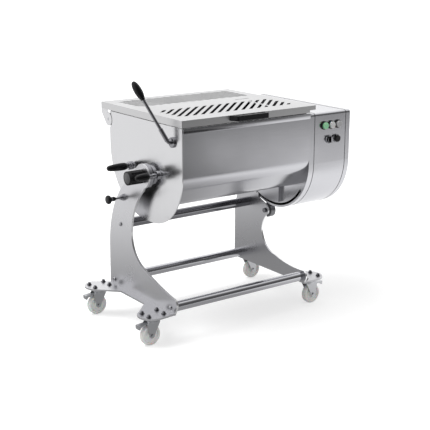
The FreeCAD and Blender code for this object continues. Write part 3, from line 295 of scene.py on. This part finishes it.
finishes = {
    "trough_shell": troughSteel, "left_end_plate": endSteel, "housing_inner_cap": capSteel,
    "housing_wrap": housingSteel, "housing_end_cap": housingSteel, "drive_cover": coverSteel,
    "lid_panel": lidSteel, "lid_ears": endSteel, "left_side_plate": leftPlateSteel,
    "right_side_plate": shadedRightPlateSteel, "upper_cross_tube": highTubeSteel,
    "rear_cross_tube": tubeSteel, "front_cross_tube": tubeSteel, "pivot_knob": polyamide,
    "front_spindle_grip": phenolic, "rear_spindle_grip": phenolic, "lever_grip": phenolic,
    "lid_handle": polyamide, "index_plunger_knob": phenolic, "support_roller": rollerSteel,
    "roller_bolt": boltSteel, "start_button": greenCap, "stop_button": whiteCap,
    "reset_button": greyCap, "inch_button": darkCap, "selector_knob": chrome,
    "switch_bezels": chrome, "drive_motor": motorPaint, "gearbox": castAluminium,
    "shaft_seals": nitrile, "caster_top_plates": zincPlate, "caster_bolts": boltSteel,
    "tilt_lever": shadedLeverSteel, "frame_screws": chrome, "front_bearing_spindle": chrome,
    "rear_bearing_spindle": chrome, "spindle_bushes": chrome, "index_plunger": chrome,
    "index_plunger_housing": chrome,
}
endings = {"_wheel": nylon, "_fork": zincPlate, "_brake_pedal": zincPlate}


def finishFor(name):
    for ending, material in endings.items():
        if name.endswith(ending):
            return material
    return finishes.get(name, turnedSteel)


for name, item in nodes.items():
    item.data.materials.clear()
    item.data.materials.append(finishFor(name))
print("finishes set")

# Pieces
weld = 1e-6  # points closer than this, in metres, are one


def addPiece(name, bm, material, body, replaced=(), smooth=40):
    bmesh.ops.remove_doubles(bm, verts=bm.verts, dist=weld)
    bmesh.ops.recalc_face_normals(bm, faces=bm.faces)
    mesh = bpy.data.meshes.new(name)
    bm.to_mesh(mesh)
    bm.free()
    mesh.shade_smooth()
    mesh.set_sharp_from_angle(angle=math.radians(smooth))
    mesh.materials.append(material)
    piece = bpy.data.objects.new(name, mesh)
    bpy.context.scene.collection.objects.link(piece)
    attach(piece, body)
    if replaced:
        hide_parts(*replaced)
    return piece


def joinInto(bm, part):
    made = bpy.data.meshes.new("joined")
    part.to_mesh(made)
    part.free()
    bm.from_mesh(made)
    bpy.data.meshes.remove(made)


def spinProfile(bm, profile, place, axis, steps=48):
    # profile is radius and height in millimetres, turned about its height line
    part = bmesh.new()
    corners = [part.verts.new((radius / 1000, 0, height / 1000)) for radius, height in profile]
    edges = [part.edges.new(pair) for pair in zip(corners, corners[1:])]
    bmesh.ops.spin(part, geom=corners + edges, cent=(0, 0, 0), axis=(0, 0, 1),
                   angle=2 * math.pi, steps=steps, use_merge=True)
    bmesh.ops.remove_doubles(part, verts=part.verts, dist=weld)
    turn = Vector((0, 0, 1)).rotation_difference(Vector(axis)).to_matrix().to_4x4()
    bmesh.ops.transform(part, matrix=Matrix.Translation(place) @ turn, verts=part.verts)
    joinInto(bm, part)


def addBar(bm, low, high, rounding):
    # a straight bar between two corners, with its edges broken
    low, high = Vector(low), Vector(high)
    bar = bmesh.new()
    bmesh.ops.create_cube(bar, size=1)
    bmesh.ops.scale(bar, vec=high - low, verts=bar.verts)
    bmesh.ops.translate(bar, vec=(low + high) / 2, verts=bar.verts)
    bmesh.ops.bevel(bar, geom=bar.edges[:], offset=rounding, segments=2, affect="EDGES",
                    profile=0.5, material=-1)
    joinInto(bm, bar)


def pushOut(bm, edges, shift):
    made = bmesh.ops.extrude_edge_only(bm, edges=edges)["geom"]
    verts = [item for item in made if isinstance(item, bmesh.types.BMVert)]
    bmesh.ops.translate(bm, verts=verts, vec=shift)
    return verts, [item for item in made if isinstance(item, bmesh.types.BMEdge)
                   and all(vert in verts for vert in item.verts)]


def reworked(name, move):
    # a node's own shape with its points moved, to set one of its lengths right
    bm = bmesh.new()
    bm.from_mesh(nodes[name].data)
    bmesh.ops.remove_doubles(bm, verts=bm.verts, dist=weld)
    for vert in bm.verts:
        vert.co = move(vert.co)
    return bm


def middleOf(name):
    low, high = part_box(name)
    return (Vector(low) + Vector(high)) / 2


def rootOf(name):
    # the middle of the end that a turned piece on the left side has towards the tub
    middle = middleOf(name)
    middle.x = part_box(name)[1][0]
    return middle


outwards = Vector((-1, 0, 0))  # away from the tub on the left side
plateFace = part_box("left_end_plate")[0][0]

# Housing seams: dark joint lines where the wrap meets the two caps
seams = {"width": 0.0032, "stand": 0.0004, "inset": 0.0001}


def bandOf(name, low, high, stand):
    # a thin band of a sheet's own surface between two places along X, stood a little proud
    bm = bmesh.new()
    bm.from_mesh(nodes[name].data)
    bmesh.ops.remove_doubles(bm, verts=bm.verts, dist=weld)
    for place, way in ((low, -1), (high, 1)):
        bmesh.ops.bisect_plane(bm, geom=bm.verts[:] + bm.edges[:] + bm.faces[:],
                               plane_co=(place, 0, 0), plane_no=(way, 0, 0), clear_outer=True)
    flat = [face for face in bm.faces if abs(face.normal.x) > 0.9]
    bmesh.ops.delete(bm, geom=flat, context="FACES")
    bmesh.ops.solidify(bm, geom=bm.faces[:], thickness=-stand)
    return bm


wrapLow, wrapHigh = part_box("housing_wrap")
for label, start in (("innerCapSeam", wrapLow[0]), ("endCapSeam", wrapHigh[0] - seams["width"])):
    bm = bandOf("housing_wrap", start + seams["inset"],
                start + seams["width"] - seams["inset"], seams["stand"])
    addPiece(label, bm, sealant, "tub")
print("housing seams made")

# Tub shell: one folded sheet with two flared bowls that meet in a ridge, and a lip at its rim
trough = {
    "left": -0.393, "right": 0.344, "sheet": 0.003, "front": -0.338, "rear": 0.297, "rim": 1.0,
    "bowls": (-0.148, 0.107), "height": 0.76, "radius": 0.15, "bend": 0.1, "steps": 20,
    "middle": (-0.02, 0.9), "lipThick": 0.004, "lipHeight": 0.026, "lipRound": 0.0012,
}


def arcPoints(centre, radius, start, end, steps):
    turns = [math.radians(start + (end - start) * step / steps) for step in range(steps + 1)]
    return [(centre[0] + radius * math.cos(turn), centre[1] + radius * math.sin(turn))
            for turn in turns]


def troughSection():
    # the bowls leave their rounds at 45 degrees, run straight up the flare and bend upright
    frontBowl, rearBowl = [(y, trough["height"]) for y in trough["bowls"]]
    radius, bend, steps = trough["radius"], trough["bend"], trough["steps"]
    halfGap = (rearBowl[0] - frontBowl[0]) / 2
    ridge = math.degrees(math.acos(halfGap / radius))
    leave = trough["height"] - radius * math.sin(math.pi / 4)
    flareRun = abs(trough["front"] + bend * (1 - math.cos(math.pi / 4))
                   - (frontBowl[0] - radius * math.cos(math.pi / 4)))
    bendHeight = leave + flareRun + bend * math.sin(math.pi / 4)
    section = [(trough["front"], trough["rim"])]
    section += arcPoints((trough["front"] + bend, bendHeight), bend, 180, 225, steps // 2)
    section += arcPoints(frontBowl, radius, 225, 360 - ridge, steps)
    section += arcPoints(rearBowl, radius, 180 + ridge, 315, steps)
    section += arcPoints((trough["rear"] - bend, bendHeight), bend, -45, 0, steps // 2)
    return section + [(trough["rear"], trough["rim"])]


bm = bmesh.new()
corners = [bm.verts.new((trough["left"], y, z)) for y, z in troughSection()]
for pair in zip(corners, corners[1:]):
    bm.edges.new(pair)
bmesh.ops.remove_doubles(bm, verts=bm.verts, dist=weld)
pushOut(bm, bm.edges[:], (trough["right"] - trough["left"], 0, 0))
bmesh.ops.recalc_face_normals(bm, faces=bm.faces)
wall = min(bm.faces, key=lambda face: face.calc_center_median().y)
if wall.normal.y > 0:
    bmesh.ops.reverse_faces(bm, faces=bm.faces)
bmesh.ops.solidify(bm, geom=bm.faces[:], thickness=trough["sheet"])
for face in bm.faces:
    # the inside of the sheet faces the middle of the tub
    spot = face.calc_center_median()
    inwards = Vector((0, trough["middle"][0] - spot.y, trough["middle"][1] - spot.z))
    if face.normal.dot(inwards) > 0 and abs(face.normal.x) < 0.5:
        face.material_index = 1
addBar(bm, (trough["left"], trough["front"] - trough["lipThick"],
            trough["rim"] - trough["lipHeight"]),
       (trough["right"], trough["front"], trough["rim"]), trough["lipRound"])
shell = addPiece("troughShell", bm, troughSteel, "tub", ["trough_shell"], 30)
shell.data.materials.append(innerSteel)

# Paddles: arms and blades drawn in to the bowls' round
paddles = {"hub": 0.03, "reach": 0.173, "newReach": 0.139}


def drawnIn(middle):
    hub = paddles["hub"]
    share = (paddles["newReach"] - hub) / (paddles["reach"] - hub)

    def move(point):
        away = Vector((0, point.y - middle[0], point.z - middle[1]))
        if away.length > hub:
            away *= (hub + (away.length - hub) * share) / away.length
        return Vector((point.x, middle[0] + away.y, middle[1] + away.z))
    return move


for name, bowl in zip(("front", "rear"), trough["bowls"]):
    bm = reworked(name + "_paddle_shaft", drawnIn((bowl, trough["height"])))
    addPiece(name + "Paddle", bm, turnedSteel, name + "_paddle",
             [name + "_paddle_shaft"], 30)

# Clamp knob and bearing: the photograph's are shorter along the pivot
clamp = {
    "knobLength": 0.76, "bearingLength": 0.6,  # shares of the nodes' own lengths
    "insert": [(0, 0.8), (24.6, 0.8), (25.6, 0), (25.6, -2), (0, -2)],
}


def shortened(start, share):
    return lambda point: Vector((start + (point.x - start) * share, point.y, point.z))


knobLow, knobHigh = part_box("pivot_knob")
bm = reworked("pivot_knob", shortened(knobHigh[0], clamp["knobLength"]))
addPiece("clampKnob", bm, polyamide, "lock_knob", ["pivot_knob"], 35)
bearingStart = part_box("pivot_bearing")[0][0]
bm = reworked("pivot_bearing", shortened(bearingStart, clamp["bearingLength"]))
addPiece("pivotBearing", bm, turnedSteel, "frame", ["pivot_bearing"], 35)

# Knob face: grey insert let into the clamp knob's end
bm = bmesh.new()
knobEnd = rootOf("pivot_knob") + outwards * (knobHigh[0] - knobLow[0]) * clamp["knobLength"]
spinProfile(bm, clamp["insert"], knobEnd, outwards)
addPiece("knobInsert", bm, knobFace, "lock_knob")

# Index boss for the tipped tub: let in flush, so only its ring and hole show
boss = {"between": -0.1, "outer": 0.004, "proud": 0.0004}  # between: a y that parts the two


def letIn(point):
    if point.y > boss["between"] or point.x >= plateFace - boss["outer"]:
        return point
    return Vector((plateFace - boss["proud"], point.y, point.z))


bm = reworked("index_bosses", letIn)
addPiece("indexBosses", bm, endSteel, "tub", ["index_bosses"], 30)

# Lid stiffener: flange folded down inside the lid, just short of the housing. It carries the
# shaded inside colour as painted shade and keeps light from showing through the right slots
stiffener = {"low": (0.336, -0.33, 1.0025), "high": (0.339, 0.285, 1.0335), "rounding": 0.0008}
bm = bmesh.new()
addBar(bm, **stiffener)
addPiece("lidStiffener", bm, innerSteel, "lid")

# Drive cover: raised plate whose top fits the bowls and whose foot follows the guide slot
cover = {
    "left": 0.326, "right": 0.344, "pivot": (-0.076, 0.747), "round": 0.232, "bay": 0.1515,
    "front": -0.132, "rear": 0.039, "top": 0.63, "steps": 16,
}


def coverOutline():
    pivot, low, high = cover["pivot"], cover["front"], cover["rear"]
    spread = [low + (high - low) * step / cover["steps"] for step in range(cover["steps"] + 1)]
    foot = [(y, pivot[1] - math.sqrt(cover["round"] ** 2 - (y - pivot[0]) ** 2)) for y in spread]
    crest = []
    for y in reversed(spread):
        bays = [trough["height"] - math.sqrt(cover["bay"] ** 2 - (y - bowl) ** 2)
                for bowl in trough["bowls"] if abs(y - bowl) < cover["bay"]]
        crest.append((y, min([cover["top"]] + bays)))
    return foot + crest


bm = bmesh.new()
face = bm.faces.new([bm.verts.new((cover["left"], y, z)) for y, z in coverOutline()])
made = bmesh.ops.extrude_face_region(bm, geom=[face])["geom"]
bmesh.ops.translate(bm, vec=(cover["right"] - cover["left"], 0, 0),
                    verts=[item for item in made if isinstance(item, bmesh.types.BMVert)])
addPiece("driveCover", bm, coverSteel, "tub", ["drive_cover"], 30)
print("tub made")

# Tilt lever: rod that turns up out of a boss, with a sleeve above the bend
lever = {
    "root": (plateFace, -0.264, 0.93), "boss": 0.009, "bend": 0.014, "bendRun": 0.0098,
    "radius": 0.0075, "length": 0.212, "lean": 17, "sweep": 27, "sides": 24, "bendSteps": 10,
    "bossProfile": [(0, 0), (24, 0), (24, 7.5), (22.5, 9), (0, 9)],
    "sleeve": [(7.5, 0), (9.2, 0), (10, 0.8), (10, 61.2), (9.2, 62), (7.5, 62)],
    "grip": [(0, -2), (8.5, -2), (9.5, 0), (10.5, 4), (13.5, 12), (16.5, 24), (18.2, 38),
             (18.4, 50), (17.2, 64), (14.5, 77), (10.5, 86), (5.5, 91.5), (0, 93)],
    "ferrule": [(0, -9), (9, -9), (9.6, -8), (9.6, -2.4), (0, -2.4)],
}
rise = Vector((-math.sin(math.radians(lever["lean"])), math.sin(math.radians(lever["sweep"])), 0))
rise.z = math.sqrt(1 - rise.x ** 2 - rise.y ** 2)
corner = Vector(lever["root"]) + outwards * (lever["boss"] + lever["bend"])
run, turn = lever["bendRun"], outwards.angle(rise)
inward = (rise - outwards * rise.dot(outwards)).normalized()
bm = bmesh.new()
ring = bmesh.ops.create_circle(bm, cap_ends=False, radius=lever["radius"],
                               segments=lever["sides"])["verts"]
bmesh.ops.rotate(bm, cent=(0, 0, 0), matrix=Matrix.Rotation(math.pi / 2, 3, "Y"), verts=ring)
bmesh.ops.translate(bm, vec=lever["root"], verts=ring)
verts, edges = pushOut(bm, bm.edges[:], outwards * (lever["boss"] + lever["bend"] - run))
bent = bmesh.ops.spin(bm, geom=verts + edges, cent=corner - outwards * run
                      + inward * run / math.tan(turn / 2), axis=outwards.cross(rise), angle=turn,
                      steps=lever["bendSteps"], use_duplicate=False)["geom_last"]
edges = [item for item in bent if isinstance(item, bmesh.types.BMEdge)]
pushOut(bm, edges, rise * lever["length"])
spinProfile(bm, lever["bossProfile"], lever["root"], outwards)
spinProfile(bm, lever["sleeve"], corner + rise * run, rise)
addPiece("tiltLever", bm, shadedLeverSteel, "tub", ["tilt_lever"])

tip = corner + rise * (run + lever["length"])
bm = bmesh.new()
spinProfile(bm, lever["grip"], tip, rise)
addPiece("leverGrip", bm, phenolic, "tub", ["lever_grip"], 60)
bm = bmesh.new()
spinProfile(bm, lever["ferrule"], tip, rise)
addPiece("leverFerrule", bm, chrome, "tub", smooth=60)

# Bearing spindles: stout pins with a turned nut where each passes the end plate
spindles = {
    "innerEnd": -0.345,
    "front": [(0, 0), (8, 0), (8, 71), (10, 71), (11, 72), (11, 87), (8, 88.5), (8, 140),
              (0, 140)],
    "rear": [(0, 0), (8, 0), (8, 71), (10, 71), (11, 72), (11, 105), (0, 105)],
    "nut": [(8.5, 0), (18.5, 0), (20, 1.5), (20, 12), (17.5, 16), (12, 16), (8.5, 16), (8.5, 0)],
}
nuts = bmesh.new()
for name, bowl in zip(("front", "rear"), trough["bowls"]):
    bm = bmesh.new()
    spinProfile(bm, spindles[name], (spindles["innerEnd"], bowl, trough["height"]), outwards)
    addPiece(name + "Spindle", bm, chrome, name + "_spindle",
             [name + "_bearing_spindle"], 50)
    spinProfile(nuts, spindles["nut"], (plateFace, bowl, trough["height"]), outwards)
addPiece("spindleNuts", nuts, chrome, "tub", ["spindle_bushes"], 50)
print("lever and spindles made")

# Spindle grips: turned handles, waisted near the plate and rounded at the free end
handles = {
    "front": [(0, 0), (12, 0), (14.5, 3), (16.5, 10), (17.4, 22), (16.8, 38), (15, 52), (12, 63),
              (8, 69), (4, 71.4), (0, 72)],
    "rear": [(0, 0), (12, 0), (15, 3), (17.5, 12), (18.3, 26), (17.6, 50), (16, 76), (14, 94),
             (10.5, 103), (6, 107), (0, 107.8)],
}
for name, profile in handles.items():
    bm = bmesh.new()
    spinProfile(bm, profile, rootOf(name + "_spindle_grip"), outwards)
    addPiece(name + "SpindleGrip", bm, phenolic, name + "_spindle",
             [name + "_spindle_grip"], 60)

# Index plunger: mushroom knob on a black coned neck
plunger = {
    "knob": [(0, 25.8), (14, 25.6), (18.5, 24), (21, 20.5), (21.7, 16), (20.5, 11), (17, 7.5),
             (12.5, 4.5), (9.5, 1), (0, 1)],
    "neck": [(0, 1.5), (9.5, 1.5), (11.5, -6), (11.5, -13), (8, -20), (6.2, -24), (0, -24)],
}
plungerRoot = rootOf("index_plunger_knob")
bm = bmesh.new()
spinProfile(bm, plunger["knob"], plungerRoot, outwards)
addPiece("plungerKnob", bm, phenolic, "plunger", ["index_plunger_knob"], 50)
bm = bmesh.new()
spinProfile(bm, plunger["neck"], plungerRoot, outwards)
addPiece("plungerNeck", bm, phenolic, "plunger", smooth=50)
print("grips and plunger made")

# Switch bezels: black collars round the upper three, turned rings round the lower two
bezels = {
    "upper": ("start_button", "stop_button", "reset_button"),
    "lower": ("selector_knob", "inch_button"),
    "collar": [(17.6, 0), (21, 0), (21, 5.5), (20, 7.5), (18.2, 8), (17.6, 7.4), (17.6, 0)],
    "ring": [(17.6, 0), (21, 0), (21, 3.5), (19.4, 6.6), (18, 6.6), (17.6, 6), (17.6, 0)],
    "steps": 36,
}
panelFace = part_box("switch_bezels")[1][1]


def bezelRings(names, profile):
    bm = bmesh.new()
    for name in names:
        middle = middleOf(name)
        spinProfile(bm, profile, (middle.x, panelFace, middle.z), (0, -1, 0), bezels["steps"])
    return bm


addPiece("upperBezels", bezelRings(bezels["upper"], bezels["collar"]), bezelBlack, "tub",
         ["switch_bezels"])
addPiece("lowerBezels", bezelRings(bezels["lower"], bezels["ring"]), chrome, "tub")
print("bezels made")

# Caster bolts: domed nuts on washers, four over each mounting plate
casters = ("front_left", "rear_left", "front_right", "rear_right")
bolts = {
    "nut": [(0, 14), (3.5, 13.4), (6.6, 11.4), (8.4, 8.4), (9, 5.5), (9.5, 5), (9.5, 1.8),
            (12.5, 1.6), (12.5, 0), (0, 0)],
    "spread": (0.04, 0.03), "seat": 0.147, "trail": 0.018, "steps": 24,
}
bm = bmesh.new()
for caster in casters:
    middle = middleOf(caster + "_wheel")
    way = bolts["trail"] * (1 if caster.endswith("left") else -1)
    for x in (-1, 1):
        for y in (-1, 1):
            place = (middle.x + way + x * bolts["spread"][0], middle.y + y * bolts["spread"][1],
                     bolts["seat"])
            spinProfile(bm, bolts["nut"], place, (0, 0, 1), bolts["steps"])
addPiece("casterNuts", bm, boltSteel, "frame", ["caster_bolts"])

# Wheels: cast nylon with a crowned tread, a dished web and a hub
wheel = {
    "profile": [(6.2, -16), (15, -16), (16.5, -13.5), (18.5, -9.5), (35, -9), (37, -12),
                (38.5, -14.5), (44, -14.8), (47.6, -13), (49.3, -9), (50, -3), (50, 3),
                (49.3, 9), (47.6, 13), (44, 14.8), (38.5, 14.5), (37, 12), (35, 9),
                (18.5, 9.5), (16.5, 13.5), (15, 16), (6.2, 16), (6.2, -16)],
    "steps": 64,
}
for caster in casters:
    bm = bmesh.new()
    spinProfile(bm, wheel["profile"], middleOf(caster + "_wheel"), (0, 1, 0), wheel["steps"])
    addPiece("wheel_" + caster, bm, nylon, caster + "_roll",
             [caster + "_wheel"], 50)
print("casters made")

# Studio: pale floor that shows white to the camera and keeps the shadow, and a soft surround.
# Metal sees the same floor and surround, bright beside the object and dimmer far in front.
# Each range gives two places and the level at each.
studio = {
    "floorSize": 80.0, "floorHex": "C8C8C8", "worldLevel": 0.7, "fullGlow": 1.25,
    "shown": (1.2, 4.5, 0.53, 1.0), "around": (0.5, 2.7, 0.45, 1.05),
    "sideways": (1.1, 2.3, 0.0, 0.8), "falling": (-1.0, -2.7, 1.0),
    "rightwards": (0.1, 0.8, 0.0, 0.65), "fading": (-3.0, -5.2, 1.0, 0.2),
    "room": (-0.7, 0.0, 0.12, 1.25),
}
lamps = {
    "keyLamp": {"place": (-1.5, 0.9, 4.3), "target": (0, 0, 0.4), "power": 200, "width": 3.0},
    "fillLamp": {"place": (2.5, -3.5, 2.6), "target": (0, 0, 0.6), "power": 20, "width": 4.0},
}
smoothStep = {"interpolation_type": "SMOOTHSTEP"}
plainWhite = (1, 1, 1, 1)


def rangeOf(name):
    return dict(zip(("From Min", "From Max", "To Min", "To Max"), studio[name]))


def makeFloor():
    bm = bmesh.new()
    bmesh.ops.create_grid(bm, x_segments=1, y_segments=1, size=studio["floorSize"] / 2)
    mesh = bpy.data.meshes.new("studioFloor")
    bm.to_mesh(mesh)
    bm.free()
    floor = bpy.data.objects.new("studioFloor", mesh)
    bpy.context.scene.collection.objects.link(floor)
    material, tree = newMaterial("paleFloor")
    path = addNode(tree, "ShaderNodeLightPath")
    place = addNode(tree, "ShaderNodeTexCoord")
    spot = addNode(tree, "ShaderNodeSeparateXYZ", None, {"Vector": place.outputs["Object"]})
    away = addNode(tree, "ShaderNodeVectorMath", {"operation": "LENGTH"},
                   {0: place.outputs["Object"]})
    # in a mirror the floor is dimmer under the object and in front, towards the left
    around = addNode(tree, "ShaderNodeMapRange", smoothStep,
                     {"Value": away.outputs["Value"], **rangeOf("around")})
    sideways = addNode(tree, "ShaderNodeMapRange", smoothStep,
                       {"Value": spot.outputs["X"], **rangeOf("sideways")})
    falling = addNode(tree, "ShaderNodeMapRange", smoothStep,
                      {"Value": spot.outputs["Y"], **rangeOf("falling"),
                       "To Max": sideways.outputs["Result"]})
    rightwards = addNode(tree, "ShaderNodeMapRange", None,
                         {"Value": spot.outputs["X"], **rangeOf("rightwards")})
    summed = addNode(tree, "ShaderNodeMath", {"operation": "ADD"},
                     {0: around.outputs["Result"], 1: rightwards.outputs["Result"]})
    capped = addNode(tree, "ShaderNodeMath", {"operation": "MINIMUM"},
                     {0: summed.outputs["Value"], 1: studio["fullGlow"]})
    fading = addNode(tree, "ShaderNodeMapRange", smoothStep,
                     {"Value": spot.outputs["Y"], **rangeOf("fading")})
    nearby = addNode(tree, "ShaderNodeMath", {"operation": "MULTIPLY"},
                     {0: capped.outputs["Value"], 1: falling.outputs["Result"]})
    mirrored = addNode(tree, "ShaderNodeMath", {"operation": "MULTIPLY"},
                       {0: nearby.outputs["Value"], 1: fading.outputs["Result"]})
    mirror = addNode(tree, "ShaderNodeEmission", None,
                     {"Color": plainWhite, "Strength": mirrored.outputs["Value"]})
    # far from the lamps the floor glows more, so that it stays white to the picture's edge
    level = addNode(tree, "ShaderNodeMapRange", None,
                    {"Value": away.outputs["Value"], **rangeOf("shown")})
    seen = addNode(tree, "ShaderNodeMath", {"operation": "MAXIMUM"},
                   {0: path.outputs["Is Camera Ray"], 1: path.outputs["Is Transmission Ray"]})
    shown = addNode(tree, "ShaderNodeMath", {"operation": "MULTIPLY"},
                    {0: seen.outputs["Value"], 1: level.outputs["Result"]})
    glow = addNode(tree, "ShaderNodeEmission", None,
                   {"Color": plainWhite, "Strength": shown.outputs["Value"]})
    matt = addNode(tree, "ShaderNodeBsdfDiffuse", None,
                   {"Color": linearColour(studio["floorHex"])})
    total = addNode(tree, "ShaderNodeAddShader", None,
                    {0: glow.outputs["Emission"], 1: matt.outputs["BSDF"]})
    final = addNode(tree, "ShaderNodeMixShader", None,
                    {0: path.outputs["Is Glossy Ray"], 1: total.outputs["Shader"],
                     2: mirror.outputs["Emission"]})
    finishMaterial(tree, final.outputs["Shader"])
    mesh.materials.append(material)


def makeWorld():
    world = bpy.data.worlds.new("studioWorld")
    bpy.context.scene.world = world
    world.use_nodes = True
    tree = world.node_tree
    tree.nodes.clear()
    path = addNode(tree, "ShaderNodeLightPath")
    place = addNode(tree, "ShaderNodeTexCoord")
    split = addNode(tree, "ShaderNodeSeparateXYZ", None, {"Vector": place.outputs["Generated"]})
    # the room in front of the object is dimmer than the lit backdrop behind it
    facing = addNode(tree, "ShaderNodeMapRange", smoothStep,
                     {"Value": split.outputs["Y"], **rangeOf("room")})
    room = addNode(tree, "ShaderNodeBackground", None,
                   {"Color": plainWhite, "Strength": facing.outputs["Result"]})
    even = addNode(tree, "ShaderNodeBackground", None,
                   {"Color": plainWhite, "Strength": studio["worldLevel"]})
    white = addNode(tree, "ShaderNodeBackground", None, {"Color": plainWhite, "Strength": 1.0})
    lit = addNode(tree, "ShaderNodeMixShader", None,
                  {0: path.outputs["Is Glossy Ray"], 1: even.outputs["Background"],
                   2: room.outputs["Background"]})
    seen = addNode(tree, "ShaderNodeMath", {"operation": "MAXIMUM"},
                   {0: path.outputs["Is Camera Ray"], 1: path.outputs["Is Transmission Ray"]})
    final = addNode(tree, "ShaderNodeMixShader", None,
                    {0: seen.outputs["Value"], 1: lit.outputs["Shader"],
                     2: white.outputs["Background"]})
    addNode(tree, "ShaderNodeOutputWorld", None, {"Surface": final.outputs["Shader"]})


def makeLamp(name, place, target, power, width):
    data = bpy.data.lights.new(name, "AREA")
    data.energy = power
    data.size = width
    lamp = bpy.data.objects.new(name, data)
    lamp.location = place
    lamp.rotation_euler = (Vector(target) - Vector(place)).to_track_quat("-Z", "Y").to_euler()
    # the lamps stay out of the metal's reflections, as behind a diffusing screen
    lamp.visible_glossy = False
    bpy.context.scene.collection.objects.link(lamp)


makeFloor()
makeWorld()
for name, lamp in lamps.items():
    makeLamp(name, **lamp)

# Camera at the photograph's viewpoint
viewpoint = {
    "place": (-2.7674, -3.8845, 1.7614), "pitch": 15.1, "yaw": 35.7, "lens": 82.46, "sensor": 36,
    "clipEnd": 200,
}
camera = bpy.data.objects.new("photoCamera", bpy.data.cameras.new("photoCamera"))
camera.data.lens = viewpoint["lens"]
camera.data.sensor_width = viewpoint["sensor"]
camera.data.clip_end = viewpoint["clipEnd"]
camera.location = viewpoint["place"]
camera.rotation_euler = (math.radians(90 - viewpoint["pitch"]), 0, math.radians(-viewpoint["yaw"]))
bpy.context.scene.collection.objects.link(camera)
bpy.context.scene.camera = camera
bpy.context.scene.view_settings.view_transform = "Standard"
print("studio and camera set")
